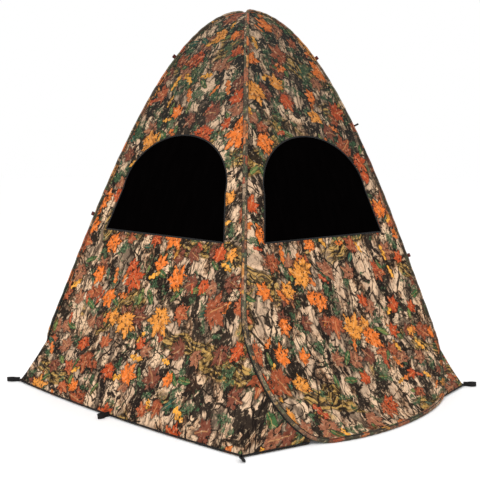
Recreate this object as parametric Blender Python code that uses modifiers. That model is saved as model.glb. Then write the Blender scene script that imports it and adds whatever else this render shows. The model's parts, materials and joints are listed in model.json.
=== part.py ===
"""Two-hoop pop up ground blind, in metres, +Z up, standing on z = 0 with its crown over the origin.

Two closed spring wire hoops meet at the crown and stand apart at the ground. The front hoop (-Y) carries
the front wall and the back hoop (+Y) the back wall. Each runs down two seams of the blind, then turns in
under its own wall and lies on the ground. The left (-X) and right (+X) walls are stretched between the
hoops, and wrap round the corners to the staked points of the footprint.
"""

import math

import bmesh
import bpy
import numpy as np
from mathutils import Matrix, Vector

# Driving dimensions.
CORNER = 0.732  # half the side of the square through the four staked corners
CROWN_Z = 1.691  # hoop wire at the crown
CROWN_GAP = 0.035  # half the distance between the two hoops at the crown
SLEEVE_R = 0.009  # outside of the fabric tunnel that holds a hoop
SLEEVE_BORE = 0.0065
WIRE_R = 0.0025
FERRULE_R = 0.0045
FERRULE_LENGTH = 0.036
FABRIC = 0.002
GAP = 0.0003
EDGE_GAP = 0.0016  # between the edge of a wall and the sleeve it is sewn to

# A seam as seen from the side: control points of one curve, as (distance from the axis, height).
SEAM = ((0.0, CROWN_Z), (0.345, CROWN_Z), (0.635, 0.87), (0.892, 0.23))
# The fabric fold that goes on from it to a staked corner.
FLARE = ((0.892, 0.23), (0.93, 0.13), (CORNER * math.sqrt(2), 0.0))

# Where each leg of the front hoop leaves its seam, and where it reaches the ground. The back hoop is the
# front one turned by half a turn about the axis.
LEAVE_Z = {"left": 0.49, "right": 0.28}
TOUCH = {"left": (-0.37, -0.83), "right": (0.42, -0.80)}
GROUND_HANDLES = ((-0.20, -0.915), (0.15, -0.915))
CORNER_HANDLES = {"left": (0.20, 0.16), "right": (0.13, 0.13)}

SEAM_ROWS = 14
CORNER_ROWS = 6
COLUMNS = 10
BULGE_TOP = 0.55  # below this height the front and back walls swell out to the hoop on the ground
SIDE_PULL = 0.037  # how far the middle stake loop draws a side hem outwards
GUSSET_FROM = 0.03  # a corner gusset starts where hoop and fold are this far apart

HEM_R = 0.003
HEM_Z = 2 * HEM_R + 0.0025  # bottom edge of a side wall, above the binding
BINDING_SHORT = {"corner": 0.0035, "hoop": 0.006}  # how far a binding stops short of its run's ends

# Openings, as (half width at the sill, half width at the shoulder, sill, shoulder, top).
WINDOW = (0.377, 0.323, 0.727, 0.911, 1.142)
DOOR = (0.27, 0.27, 0.22, 0.86, 1.20)
ARCH_POINTS = 12

FACES = {"front": 0.0, "left": -90.0, "right": 90.0, "back": 180.0}
WINDOW_FACES = ("front", "left", "right")

# Depths below the outside of a wall, outermost first.
MESH_DEPTH, MESH_THICK = 0.0026, 0.0010
TAPE_DEPTH, TAPE_THICK = 0.0040, 0.0015
SLIDER_DEPTH, SLIDER_THICK = 0.0064, 0.0042
COVER_DEPTH, COVER_THICK = 0.0090, 0.0015
MESH_GROW = 0.012
TAPE_GROW = 0.007
COVER_INSET = 0.014
COVER_HINGE_DROP = 0.006
DOOR_GAP = 0.004

HINGE_PROUD = 0.001  # the door's hinge line clears the wall by this much

SLIDER_SIZE = (0.010, 0.017)
PULL_SIZE = (0.006, 0.028)
PULL_THICK = 0.0012
PULL_GAP = 0.0012  # from a slider to the hinge of its pull
WINDOW_SLIDER_Z = 0.745
DOOR_SLIDER_X = -0.2855
DOOR_SLIDER_Z = {"upper": 0.64, "lower": 0.61}
DOOR_SLIDER_GAP = 0.0020  # from the outside of the back wall to a slider
UPPER_PULL_RISE = 0.004  # the upper pull hangs over the lower slider
UPPER_PULL_GAP = 0.0030

BRUSH_LOOPS = {
    "left": (1.485, 0.78),
    "front": (1.485,),
    "right": (1.485, 0.605),
    "back": (1.485,),
}
BRUSH_LOOP_SIZE = (0.013, 0.0065, 0.017)  # reach, thickness across, height
GUY_LOOP_Z = 1.19
GUY_LOOP_SIZE = (0.022, 0.0065, 0.008)
LOOP_PLY = 0.0015
STAKE_LOOP_SIZE = (0.056, 0.022)  # length, width of the webbing, which stands on edge
STAKE_LOOP_TAIL = 0.015  # sewn to the hem
STAKE_LOOP_EYE = 0.011  # widest gap between its two plies
STAKE_LOOP_START = HEM_R + GAP + 0.0007  # from the middle of the hem's binding
SEAM_ANGLE = {"front": 0.0, "right": 90.0, "back": 180.0, "left": -90.0}

COLOURS = {
    "camo_fabric": ((0.36, 0.24, 0.14), 0.8, 0.0),
    "sleeve_fabric": ((0.40, 0.22, 0.12), 0.8, 0.0),
    "cover_fabric": ((0.05, 0.05, 0.05), 0.85, 0.0),
    "black_mesh": ((0.01, 0.01, 0.01), 0.9, 0.0),
    "webbing": ((0.02, 0.02, 0.02), 0.7, 0.0),
    "brown_webbing": ((0.13, 0.035, 0.02), 0.7, 0.0),
    "zip_tape": ((0.03, 0.03, 0.03), 0.7, 0.0),
    "zip_metal": ((0.5, 0.5, 0.5), 0.3, 1.0),
    "spring_steel": ((0.45, 0.45, 0.47), 0.35, 1.0),
}


# ---------------------------------------------------------------------------------------------------------
# Curves of the frame
# ---------------------------------------------------------------------------------------------------------


def bezier(points, t):
    """The point at t on a curve with any number of control points."""
    points = [Vector(p) for p in points]
    while len(points) > 1:
        points = [a.lerp(b, t) for a, b in zip(points, points[1:])]
    return points[0]


SAMPLES = np.linspace(0.0, 1.0, 201)
SEAM_POINTS = np.array([bezier(SEAM, t) for t in SAMPLES])
FOLD_POINTS = np.vstack([SEAM_POINTS, [bezier(FLARE, t) for t in SAMPLES[1:]]])


def fold_radius(z):
    """Distance from the axis of a seam, or of the fold below it, at height z."""
    return float(np.interp(-z, -FOLD_POINTS[:, 1], FOLD_POINTS[:, 0]))


def wall_y(z):
    """Distance from the axis of a wall at height z."""
    return fold_radius(z) / math.sqrt(2)


def wall_slope(z, step=0.02):
    """Lean of a wall at height z, from upright."""
    return math.atan2(wall_y(z - step) - wall_y(z + step), 2 * step)


def on_seam(side, radius, z):
    """A point of the front hoop on its left or right seam. The two legs run into each other at the crown."""
    across = radius / math.sqrt(2)
    return Vector((math.copysign(across, side), -math.hypot(across, CROWN_GAP), z))


def ground_stretch():
    """Stations of the front hoop along the ground, left to right."""
    controls = [TOUCH["left"], *GROUND_HANDLES, TOUCH["right"]]
    return [bezier(controls, j / COLUMNS).to_3d() + Vector((0, 0, SLEEVE_R)) for j in range(COLUMNS + 1)]


def leg(name):
    """Stations of one leg of the front hoop, from the crown to where it reaches the ground."""
    side = -1 if name == "left" else 1
    end = float(np.interp(-LEAVE_Z[name], -SEAM_POINTS[:, 1], SAMPLES))
    stations = [on_seam(side, *bezier(SEAM, end * k / SEAM_ROWS)) for k in range(SEAM_ROWS + 1)]
    leave = stations[-1]
    down = (on_seam(side, *bezier(SEAM, end + 0.01)) - leave).normalized()
    ground = ground_stretch()
    if name == "right":
        ground.reverse()
    along = (ground[1] - ground[0]).normalized()
    first, second = CORNER_HANDLES[name]
    controls = (leave, leave + down * first, ground[0] - along * second, ground[0])
    return stations + [bezier(controls, k / CORNER_ROWS) for k in range(1, CORNER_ROWS + 1)]


def hoop_path():
    """The front hoop as one closed ring of stations."""
    return leg("right") + ground_stretch()[-2:0:-1] + leg("left")[:0:-1]


def half_turn(point):
    return Vector((-point.x, -point.y, point.z))


def tangents(path):
    return [(path[(k + 1) % len(path)] - path[k - 1]).normalized() for k in range(len(path))]


# ---------------------------------------------------------------------------------------------------------
# Meshes
# ---------------------------------------------------------------------------------------------------------


def material(slot):
    found = bpy.data.materials.get(slot)
    if found:
        return found
    colour, rough, metallic = COLOURS[slot]
    made = bpy.data.materials.new(slot)
    made.use_nodes = True
    shader = made.node_tree.nodes["Principled BSDF"]
    shader.inputs["Base Color"].default_value = (*colour, 1.0)
    shader.inputs["Roughness"].default_value = rough
    shader.inputs["Metallic"].default_value = metallic
    made.diffuse_color = (*colour, 1.0)
    return made


def add_object(name, data, slot=None, turn=0.0):
    """Puts a mesh or a curve in the scene, turned about the axis by a number of degrees."""
    obj = bpy.data.objects.new(name, data)
    obj.rotation_euler.z = math.radians(turn)
    if slot:
        data.materials.append(material(slot))
        bpy.data.collections["ground_blind"].objects.link(obj)
    else:
        obj.hide_render = True
        obj.display_type = "WIRE"
        bpy.data.collections["cutters"].objects.link(obj)
    return obj


def axis_frame(point, along):
    """A frame at a point whose z runs along a joint's axis."""
    return Matrix.Translation(point) @ along.to_track_quat("Z", "Y").to_matrix().to_4x4()


def hang_on_axis(name, frame, objects):
    """Parents objects to an empty on their joint's axis, and leaves them where they are."""
    empty = bpy.data.objects.new(name, None)
    empty.empty_display_size = 0.05
    empty.matrix_world = frame
    bpy.data.collections["ground_blind"].objects.link(empty)
    for obj in objects:
        obj.parent = empty
        obj.matrix_parent_inverse = frame.inverted()


def mesh_from(name, make):
    mesh = bpy.data.meshes.new(name)
    bm = bmesh.new()
    make(bm)
    bm.to_mesh(mesh)
    bm.free()
    return mesh


def sheet_mesh(name, grids):
    """An open surface through grids of points. Points that coincide become one, and the surface faces out."""

    def make(bm):
        known = {}

        def vertex(point):
            key = tuple(round(c, 6) for c in point)
            if key not in known:
                known[key] = bm.verts.new(point)
            return known[key]

        for grid in grids:
            for upper, lower in zip(grid, grid[1:]):
                for j in range(len(upper) - 1):
                    corners = [vertex(p) for p in (upper[j], lower[j], lower[j + 1], upper[j + 1])]
                    corners = list(dict.fromkeys(corners))
                    if len(corners) > 2:
                        bm.faces.new(corners)
        bm.normal_update()
        centre = Vector((0, 0, 0.6))
        outwards = sum(f.normal.dot(f.calc_center_median() - centre) * f.calc_area() for f in bm.faces)
        if outwards < 0:
            bmesh.ops.reverse_faces(bm, faces=bm.faces)

    return mesh_from(name, make)


def add_sheet(name, grids, slot, thickness, depth=0.0, turn=0.0):
    """A layer of fabric that lies a given depth below the surface through the grids."""
    obj = add_object(name, sheet_mesh(name, grids), slot, turn)
    solid = obj.modifiers.new("thickness", "SOLIDIFY")
    solid.thickness = thickness
    solid.offset = -1 - 2 * depth / thickness
    solid.use_even_offset = True
    return obj


def prism_mesh(name, outline, reach=(-1.3, -0.05)):
    """A bar along Y whose section is the outline, as (x, z) points."""

    def make(bm):
        face = bm.faces.new([bm.verts.new((x, reach[0], z)) for x, z in outline])
        made = bmesh.ops.extrude_face_region(bm, geom=[face])["geom"]
        moved = [v for v in made if isinstance(v, bmesh.types.BMVert)]
        bmesh.ops.translate(bm, verts=moved, vec=(0, reach[1] - reach[0], 0))
        bmesh.ops.recalc_face_normals(bm, faces=bm.faces)

    return mesh_from(name, make)


def cut(obj, outline, face, operation="DIFFERENCE"):
    """Cuts a hole of this outline, or everything outside it, through the wall on one face."""
    name = f"{obj.name}_{operation.lower()}_{len(obj.modifiers)}"
    cutter = add_object(name, prism_mesh(name, outline), turn=FACES[face])
    boolean = obj.modifiers.new(name, "BOOLEAN")
    boolean.operation = operation
    boolean.object = cutter
    boolean.solver = "EXACT"


def opening_path(shape, grow=0.0):
    """Outline of a window or a door from its right sill corner over the arch to its left one."""
    sill_half, shoulder_half, sill, shoulder, top = shape
    path = [(sill_half + grow, sill - grow)]
    for k in range(ARCH_POINTS + 1):
        turn = math.pi * k / ARCH_POINTS
        x = (shoulder_half + grow) * math.cos(turn)
        path.append((x, shoulder + (top + grow - shoulder) * math.sin(turn)))
    path.append((-sill_half - grow, sill - grow))
    return path


def band_outline(path_outer, path_inner):
    return path_outer + path_inner[::-1]


def loft_ring(name, rings):
    """A closed solid through rings of points, the last one joined to the first."""

    def make(bm):
        made = [[bm.verts.new(p) for p in ring] for ring in rings]
        for a, b in zip(made, made[1:] + made[:1]):
            for j in range(len(a)):
                k = (j + 1) % len(a)
                bm.faces.new((a[j], a[k], b[k], b[j]))
        bmesh.ops.recalc_face_normals(bm, faces=bm.faces)

    return mesh_from(name, make)


def tube(name, points, radius, slot, cyclic=False, turn=0.0, resolution=2):
    """A round wire or cord along stations, with filled caps."""
    curve = bpy.data.curves.new(name, "CURVE")
    curve.dimensions = "3D"
    curve.bevel_depth = radius
    curve.bevel_resolution = resolution
    curve.use_fill_caps = not cyclic
    spline = curve.splines.new("POLY")
    spline.points.add(len(points) - 1)
    for target, point in zip(spline.points, points):
        target.co = (*point, 1.0)
    spline.use_cyclic_u = cyclic
    return add_object(name, curve, slot, turn)


def plate(name, outlines, thickness, slot, matrix):
    """A flat plate from outlines in its own x-y plane. A second outline is a hole."""
    curve = bpy.data.curves.new(name, "CURVE")
    curve.dimensions = "2D"
    curve.fill_mode = "BOTH"
    curve.extrude = thickness / 2
    for outline in outlines:
        spline = curve.splines.new("POLY")
        spline.points.add(len(outline) - 1)
        for target, (x, y) in zip(spline.points, outline):
            target.co = (x, y, 0.0, 1.0)
        spline.use_cyclic_u = True
    obj = add_object(name, curve, slot)
    obj.matrix_world = matrix
    return obj


def rounded(length, width, steps=3):
    """Outline of a bar from the origin along +X with round ends."""
    r = width / 2
    points = []
    for centre, start in (((length - r, 0), -math.pi / 2), ((r, 0), math.pi / 2)):
        for k in range(steps + 1):
            a = start + math.pi * k / steps
            points.append((centre[0] + r * math.cos(a), centre[1] + r * math.sin(a)))
    return points


# ---------------------------------------------------------------------------------------------------------
# Hoops and their sleeves
# ---------------------------------------------------------------------------------------------------------


def sleeve_rings(path):
    """Sections of a sleeve: an open channel round the wire, its mouth towards the inside of the blind."""
    mouth = math.radians(50)
    steps = 6
    inside = Vector((0, 0, 0.75))
    rings = []
    for point, along in zip(path, tangents(path)):
        inward = inside - point
        inward = (inward - inward.dot(along) * along).normalized()
        across = along.cross(inward)
        ring = []
        for radius, order in ((SLEEVE_R, range(steps + 1)), (SLEEVE_BORE, range(steps, -1, -1))):
            for k in order:
                a = mouth + (2 * math.pi - 2 * mouth) * k / steps
                ring.append(point + radius * (math.cos(a) * inward + math.sin(a) * across))
        rings.append(ring)
    return rings


def add_hoop(end, turn):
    path = hoop_path()
    name = f"{end}_hoop_sleeve"
    add_object(name, loft_ring(name, sleeve_rings(path)), "sleeve_fabric", turn)
    tube(f"{end}_hoop_wire", path, WIRE_R, "spring_steel", cyclic=True, turn=turn, resolution=1)
    add_ferrule(end, turn)


def add_ferrule(end, turn):
    """The crimped tube that joins the ends of the wire, in the middle of the stretch on the ground."""
    middle = ground_stretch()[COLUMNS // 2 : COLUMNS // 2 + 2]
    along = (middle[1] - middle[0]).normalized()
    centre = (middle[0] + middle[1]) / 2
    up = Vector((0, 0, 1))
    across = along.cross(up)
    sides = 10

    def ring(offset, radius):
        turns = [2 * math.pi * k / sides for k in range(sides)]
        return [centre + along * offset + radius * (math.cos(a) * up + math.sin(a) * across) for a in turns]

    half, bore = FERRULE_LENGTH / 2, WIRE_R + 2 * GAP
    rings = [ring(-half, FERRULE_R), ring(half, FERRULE_R), ring(half, bore), ring(-half, bore)]
    name = f"{end}_hoop_ferrule"
    add_object(name, loft_ring(name, rings), "spring_steel", turn)


# ---------------------------------------------------------------------------------------------------------
# Walls
# ---------------------------------------------------------------------------------------------------------


def inset(point, along, towards):
    """Moves an edge point of a wall off the hoop line, square to the hoop and in the wall."""
    into = towards - point
    into = (into - into.dot(along) * along).normalized()
    return point + into * (SLEEVE_R + EDGE_GAP)


def front_grid():
    """Rows of the front wall from just below the crown to the hoop on the ground, each left to right."""
    left, right, ground = leg("left"), leg("right"), ground_stretch()
    last = len(left) - 1
    rows = []
    for i in range(1, last + 1):
        rows.append([])
        for j in range(COLUMNS + 1):
            s = j / COLUMNS
            flat = left[i].lerp(right[i], s)
            low = ground[j] - left[last].lerp(right[last], s)
            swell = max(0.0, (BULGE_TOP - flat.z) / (BULGE_TOP - SLEEVE_R)) ** 2
            rows[-1].append(flat + low * swell)
    path_left, path_right = tangents(left + ground[1:3]), tangents(right + ground[-2:-4:-1])
    inner = [list(row) for row in rows]
    for k, row in enumerate(rows):
        i = k + 1
        inner[k][0] = inset(row[0], path_left[i], row[1] if i < last else rows[-2][1])
        inner[k][-1] = inset(row[-1], path_right[i], row[-2] if i < last else rows[-2][-2])
    along_ground = tangents(ground)
    for j in range(1, COLUMNS):
        inner[-1][j] = inset(rows[-1][j], along_ground[j], rows[-2][j])
        inner[0][j] = crown_rim(left, right, j)
    return inner


def on_front_wall(x, z):
    """The point of the front wall's outer surface at x across and height z."""
    crossings = []
    for row in front_grid():
        across = [p.x for p in row]
        crossings.append([np.interp(x, across, [p[axis] for p in row]) for axis in (2, 1)])
    heights, depths = zip(*reversed(crossings))
    return Vector((x, np.interp(z, heights, depths), z))


def crown_rim(left, right, j):
    """A point of the front wall's top edge, which runs along the hoop over the crown."""
    station = (left if j <= COLUMNS / 2 else right)[1]
    away = abs(2 * j / COLUMNS - 1)
    point = left[0].lerp(station, away)
    along = (station - left[0]).normalized() if away else Vector((1, 0, 0))
    return inset(point, along, point - Vector((0, 1, 0)))


def fold_point(point):
    """The point of the fold in the corner next to a hoop station, at the same height."""
    across = wall_y(max(point.z, HEM_Z)) if point.z > SLEEVE_R + 1e-6 else wall_y(HEM_Z)
    return Vector((math.copysign(across, point.x), math.copysign(across, point.y), point.z))


def side_grids():
    """The left wall: its face between the two folds, and the gusset that wraps round each corner."""
    front = leg("left")
    back = [half_turn(p) for p in leg("right")]
    last = len(front) - 1
    folds, first_gusset, along = {}, {}, {}
    for name, stations in (("front", front), ("back", back)):
        folds[name] = [fold_point(p) for p in stations]
        apart = [i > SEAM_ROWS and (folds[name][i] - p).length > GUSSET_FROM for i, p in enumerate(stations)]
        first_gusset[name] = apart.index(True)
        along[name] = tangents(stations)
        along[name][0] = Vector((1, 0, 0))

    def row_end(name, i, stations, opposite):
        """Where a row of the face stops: at the fold beside a gusset, else off the hoop line."""
        point, fold = stations[i], folds[name][i]
        if i >= first_gusset[name]:
            return drop(fold, i)
        apart = (fold - point).length
        share = min(1.0, apart / GUSSET_FROM) if i > SEAM_ROWS else 0.0
        aim = (opposite[i] - point).normalized() * (1 - share)
        if share:
            aim += (fold - point).normalized() * share
        return inset(point, along[name][i], point + aim)

    def drop(point, i):
        return Vector((point.x, point.y, HEM_Z)) if i == last else point

    face = []
    for i in range(last + 1):
        start, end = row_end("front", i, front, back), row_end("back", i, back, front)
        row = []
        for j in range(COLUMNS + 1):
            s = j / COLUMNS
            point = start.lerp(end, s)
            swell = max(0.0, (BULGE_TOP - point.z) / BULGE_TOP) ** 2
            point.x -= SIDE_PULL * swell * 4 * s * (1 - s)
            row.append(point)
        if i == 0:
            row = [Vector((-2 * GAP, p.y, p.z)) for p in row]
        face.append(row)
    grids = [face]
    for name, stations, column in (("front", front, 0), ("back", back, -1)):
        first = first_gusset[name]
        gusset = [[face[first - 1][column]] * 4]
        for i in range(first, last + 1):
            fold = face[i][column]
            edge = inset(stations[i], along[name][i], fold) if i < last else drop(gusset[-1][0], i)
            gusset.append([edge.lerp(fold, k / 3) for k in range(4)])
        grids.append(gusset if name == "front" else [row[::-1] for row in gusset])
    return grids


def half_turned(grids):
    return [[[half_turn(p) for p in row] for row in grid] for grid in grids]


def wall_grids(face):
    """Grids of a wall in its place, without any turn of the object."""
    if face == "front":
        return [front_grid()]
    if face == "back":
        return half_turned([front_grid()])
    return side_grids() if face == "left" else half_turned(side_grids())


def add_walls():
    for face in FACES:
        wall = add_sheet(f"{face}_wall", wall_grids(face), "camo_fabric", FABRIC)
        hole = opening_path(WINDOW) if face in WINDOW_FACES else opening_path(DOOR, DOOR_GAP)
        cut(wall, hole, face)


def bottom_row(side):
    """The hem of a side wall from its front gusset round both corners to its back one."""
    grids = side_grids() if side == "left" else half_turned(side_grids())
    face, front, back = grids
    run = [Vector((p.x, p.y, HEM_R)) for p in face[-1]]
    ends = [Vector((p.x, p.y, HEM_R)) for p in (front[-1][0], back[-1][-1])]
    return run, ends


def shortened(points, start, end):
    """A run with its ends drawn back."""
    first = points[0] + (points[1] - points[0]).normalized() * start
    final = points[-1] + (points[-2] - points[-1]).normalized() * end
    return [first, *points[1:-1], final]


def add_hems():
    at_corner, at_hoop = BINDING_SHORT["corner"], BINDING_SHORT["hoop"]
    for side in ("left", "right"):
        run, (first, final) = bottom_row(side)
        near, far = ("front", "back") if side == "left" else ("back", "front")
        tube(f"{side}_hem_binding", shortened(run, at_corner, at_corner), HEM_R, "webbing", resolution=1)
        front_run = shortened([first, run[0]], at_hoop, at_corner)
        back_run = shortened([run[-1], final], at_corner, at_hoop)
        tube(f"{side}_{near}_gusset_binding", front_run, HEM_R, "webbing", resolution=1)
        tube(f"{side}_{far}_gusset_binding", back_run, HEM_R, "webbing", resolution=1)


# ---------------------------------------------------------------------------------------------------------
# Windows and door
# ---------------------------------------------------------------------------------------------------------


def face_matrix(face, x, z, depth):
    """A frame on a wall: x across, z up the slope, y into the blind."""
    at = Matrix.Translation((x, -wall_y(z), z)) @ Matrix.Rotation(-wall_slope(z), 4, "X")
    return Matrix.Rotation(math.radians(FACES[face]), 4, "Z") @ at @ Matrix.Translation((0, depth, 0))


def side_x(z):
    """Half width of a window at height z below its shoulder."""
    sill_half, shoulder_half, sill, shoulder, _ = WINDOW
    return sill_half + (shoulder_half - sill_half) * (z - sill) / (shoulder - sill)


def add_slider(name, matrix):
    """A zip slider: a wedge with a waist, its body flat on the tape, y being its thickness."""
    width, length = SLIDER_SIZE
    outline = [
        (-0.30 * width, -length / 2),
        (0.30 * width, -length / 2),
        (0.42 * width, 0),
        (width / 2, length / 2),
        (-width / 2, length / 2),
        (-0.42 * width, 0),
    ]
    upright = Matrix.Rotation(math.radians(90), 4, "X")
    return plate(name, [outline], SLIDER_THICK, "zip_metal", matrix @ upright)


def add_pull(name, matrix):
    """A pull tab that hangs along -z of its frame from its hinge at the frame's origin."""
    width, length = PULL_SIZE
    hang = Matrix(((0, -1, 0, 0), (0, 0, 1, 0), (-1, 0, 0, 0), (0, 0, 0, 1)))
    return plate(name, [rounded(length, width)], PULL_THICK, "zip_metal", matrix @ hang)


def window_slider_axis(face):
    """Unit vector up the straight side of a window."""
    low, high = WINDOW[2], WINDOW[3]
    run = Vector((side_x(high) - side_x(low), wall_y(low) - wall_y(high), high - low))
    return Matrix.Rotation(math.radians(FACES[face]), 3, "Z") @ run.normalized()


def cover_hinge(face):
    """Middle of the line that a window cover hangs from, and that line's direction."""
    z = WINDOW[2] - COVER_HINGE_DROP
    frame = face_matrix(face, 0, z, COVER_DEPTH)
    return frame.translation, frame.to_3x3() @ Vector((1, 0, 0))


def pull_frame(face):
    """Hinge of the pull on a window slider. The pull hangs plumb."""
    at = face_matrix(face, side_x(WINDOW_SLIDER_Z), WINDOW_SLIDER_Z, SLIDER_DEPTH + SLIDER_THICK + PULL_GAP)
    return Matrix.Translation(at.translation) @ Matrix.Rotation(math.radians(FACES[face]), 4, "Z")


def add_window(face):
    grids = wall_grids(face)
    mesh = add_sheet(f"{face}_window_mesh", grids[:1], "black_mesh", MESH_THICK, MESH_DEPTH)
    cut(mesh, opening_path(WINDOW, MESH_GROW), face, "INTERSECT")
    tape = add_sheet(f"{face}_window_zip", grids[:1], "zip_tape", TAPE_THICK, TAPE_DEPTH)
    band = band_outline(opening_path(WINDOW, TAPE_GROW), opening_path(WINDOW, -TAPE_GROW))
    cut(tape, band, face, "INTERSECT")

    point, _ = cover_hinge(face)
    down_slope = math.cos(wall_slope(WINDOW[2]))
    outline = []
    for x, z in opening_path(WINDOW, -COVER_INSET):
        outline.append(((z - WINDOW[2] + COVER_HINGE_DROP) / down_slope, x))
    outline[0] = (0.0, WINDOW[0] - COVER_INSET)
    outline[-1] = (0.0, COVER_INSET - WINDOW[0])
    plumb = Matrix(((0, 1, 0, 0), (0, 0, 1, 0), (-1, 0, 0, 0), (0, 0, 0, 1)))
    turned = Matrix.Rotation(math.radians(FACES[face]), 4, "Z")
    hanging = Matrix.Translation(point) @ turned @ plumb
    plate(f"{face}_window_cover", [outline], COVER_THICK, "cover_fabric", hanging)

    z = WINDOW_SLIDER_Z
    lean = math.atan2(WINDOW[0] - WINDOW[1], (WINDOW[3] - WINDOW[2]) / math.cos(wall_slope(z)))
    depth = SLIDER_DEPTH + SLIDER_THICK / 2
    on_tape = face_matrix(face, side_x(z), z, depth) @ Matrix.Rotation(-lean, 4, "Y")
    slider = add_slider(f"{face}_zip_slider", on_tape)
    pull = add_pull(f"{face}_zip_pull", pull_frame(face))
    track = axis_frame(pull_frame(face).translation, window_slider_axis(face))
    hang_on_axis(f"{face}_slider_track", track, [slider, pull])


def door_free_band():
    """Outline of the door's zip tape: over the arch, down the free side and along the sill."""
    bands = []
    for grow in (TAPE_GROW + DOOR_GAP, -TAPE_GROW):
        path = opening_path(DOOR, grow)[1:]
        bands.append([*path, (DOOR[0] - 0.01, DOOR[2] - grow)])
    return band_outline(*bands)


def add_door():
    grids = wall_grids("back")
    flap = add_sheet("door_flap", grids, "camo_fabric", FABRIC)
    cut(flap, opening_path(DOOR), "back", "INTERSECT")
    hang_on_axis("door_hinge_line", axis_frame(*door_hinge()), [flap])
    tape = add_sheet("door_zip", grids, "zip_tape", TAPE_THICK, TAPE_DEPTH)
    cut(tape, door_free_band(), "back", "INTERSECT")
    for name, z in DOOR_SLIDER_Z.items():
        depth = -DOOR_SLIDER_GAP - SLIDER_THICK / 2
        add_slider(f"door_{name}_slider", face_matrix("back", DOOR_SLIDER_X, z, depth))
        add_pull(f"door_{name}_pull", door_pull_frame(name))


def door_pull_frame(name):
    """Hinge of a pull on a door slider. The pull lies down the slope."""
    rise, gap = (UPPER_PULL_RISE, UPPER_PULL_GAP) if name == "upper" else (0.0, PULL_GAP)
    depth = -DOOR_SLIDER_GAP - SLIDER_THICK - gap
    return face_matrix("back", DOOR_SLIDER_X, DOOR_SLIDER_Z[name] + rise, depth)


def door_hinge():
    """The lowest point of the door's hinge line, and its direction. It clears the wall all the way up."""
    x = DOOR[0] + DOOR_GAP / 2
    edge = [on_front_wall(x, z) for z in np.linspace(DOOR[2], DOOR[3], 21)]
    along = (edge[-1] - edge[0]).normalized()
    out = Vector((0, -along.z, along.y))
    proud = max((point - edge[0]).dot(out) for point in edge)
    return half_turn(edge[0] + out * (proud + HINGE_PROUD)), half_turn(along)


# ---------------------------------------------------------------------------------------------------------
# Loops
# ---------------------------------------------------------------------------------------------------------


def seam_frame(seam, z):
    """A frame on the outside of a sleeve at height z: x out, z up along the seam."""
    point = on_seam(-1, fold_radius(z), z)
    step = 0.02
    above, below = (on_seam(-1, fold_radius(h), h) for h in (z + step, z - step))
    up = (above - below).normalized()
    out = Vector((-1, -1, 0)).normalized()
    out = (out - out.dot(up) * up).normalized()
    across = up.cross(out)
    frame = Matrix((out, across, up)).transposed().to_4x4()
    frame.translation = point + out * (SLEEVE_R + GAP)
    return Matrix.Rotation(math.radians(SEAM_ANGLE[seam]), 4, "Z") @ frame


def add_seam_loop(name, seam, z, slot, size):
    """A webbing loop sewn on a sleeve, pressed nearly flat."""
    reach, across, height = size
    inner = [(x + LOOP_PLY, y) for x, y in rounded(reach - 2 * LOOP_PLY, across - 2 * LOOP_PLY)]
    plate(name, [rounded(reach, across), inner], height, slot, seam_frame(seam, z))


def add_stake_loop(name, start, direction):
    """A webbing loop on edge: a tail sewn to the hem, and an eye that a stake goes down through."""
    out = direction.normalized()
    length, width = STAKE_LOOP_SIZE
    nose = length - LOOP_PLY
    upper = [(0.0, LOOP_PLY)]
    eye = []
    for s in np.linspace(0.0, 1.0, 7):
        gap = STAKE_LOOP_EYE / 2 * math.sin(math.pi * s)
        upper.append((STAKE_LOOP_TAIL + (nose - STAKE_LOOP_TAIL) * s, LOOP_PLY + gap))
        eye.append((STAKE_LOOP_TAIL + LOOP_PLY + (nose - STAKE_LOOP_TAIL - 2 * LOOP_PLY) * s, gap))
    outline = upper + [(length, 0.0)] + [(x, -y) for x, y in reversed(upper)]
    hole = eye + [(x, -y) for x, y in reversed(eye[1:-1])]
    across = Vector((0, 0, 1)).cross(out)
    frame = Matrix((out, across, Vector((0, 0, 1)))).transposed().to_4x4()
    frame.translation = Vector((start.x, start.y, width / 2)) + out * STAKE_LOOP_START
    plate(name, [outline, hole], width, "webbing", frame)


def stake_points():
    """Where each stake loop leaves the hem, and which way it points."""
    points = {}
    for side, sign in (("left", -1), ("right", 1)):
        for end, other in (("front", -1), ("back", 1)):
            corner = Vector((sign * wall_y(HEM_Z), other * wall_y(HEM_Z), 0))
            points[f"{end}_{side}"] = corner, Vector((sign, other, 0))
        run, _ = bottom_row(side)
        points[f"{side}_middle"] = run[COLUMNS // 2], Vector((sign, 0, 0))
    return points


def add_loops():
    for seam, heights in BRUSH_LOOPS.items():
        for number, z in enumerate(heights, 1):
            add_seam_loop(f"{seam}_seam_brush_loop_{number}", seam, z, "brown_webbing", BRUSH_LOOP_SIZE)
    add_seam_loop("right_seam_guy_loop", "right", GUY_LOOP_Z, "webbing", GUY_LOOP_SIZE)
    for name, (start, direction) in stake_points().items():
        add_stake_loop(f"{name}_stake_loop", start, direction)


def on_back_frame(name):
    """Whether an object moves with the back hoop when the blind is folded at its crown."""
    return name.startswith(("back_", "door_", "left_seam_")) or "back_gusset" in name


def main():
    for obj in list(bpy.data.objects):
        bpy.data.objects.remove(obj)
    for name in ("ground_blind", "cutters"):
        bpy.context.scene.collection.children.link(bpy.data.collections.new(name))
    add_hoop("front", 0.0)
    add_hoop("back", 180.0)
    add_walls()
    add_hems()
    for face in WINDOW_FACES:
        add_window(face)
    add_door()
    add_loops()
    behind = [obj for obj in bpy.data.objects if on_back_frame(obj.name) and not obj.parent]
    hang_on_axis("crown_fold", axis_frame(Vector((0, 0, CROWN_Z)), Vector((-1, 0, 0))), behind)


main()
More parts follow.
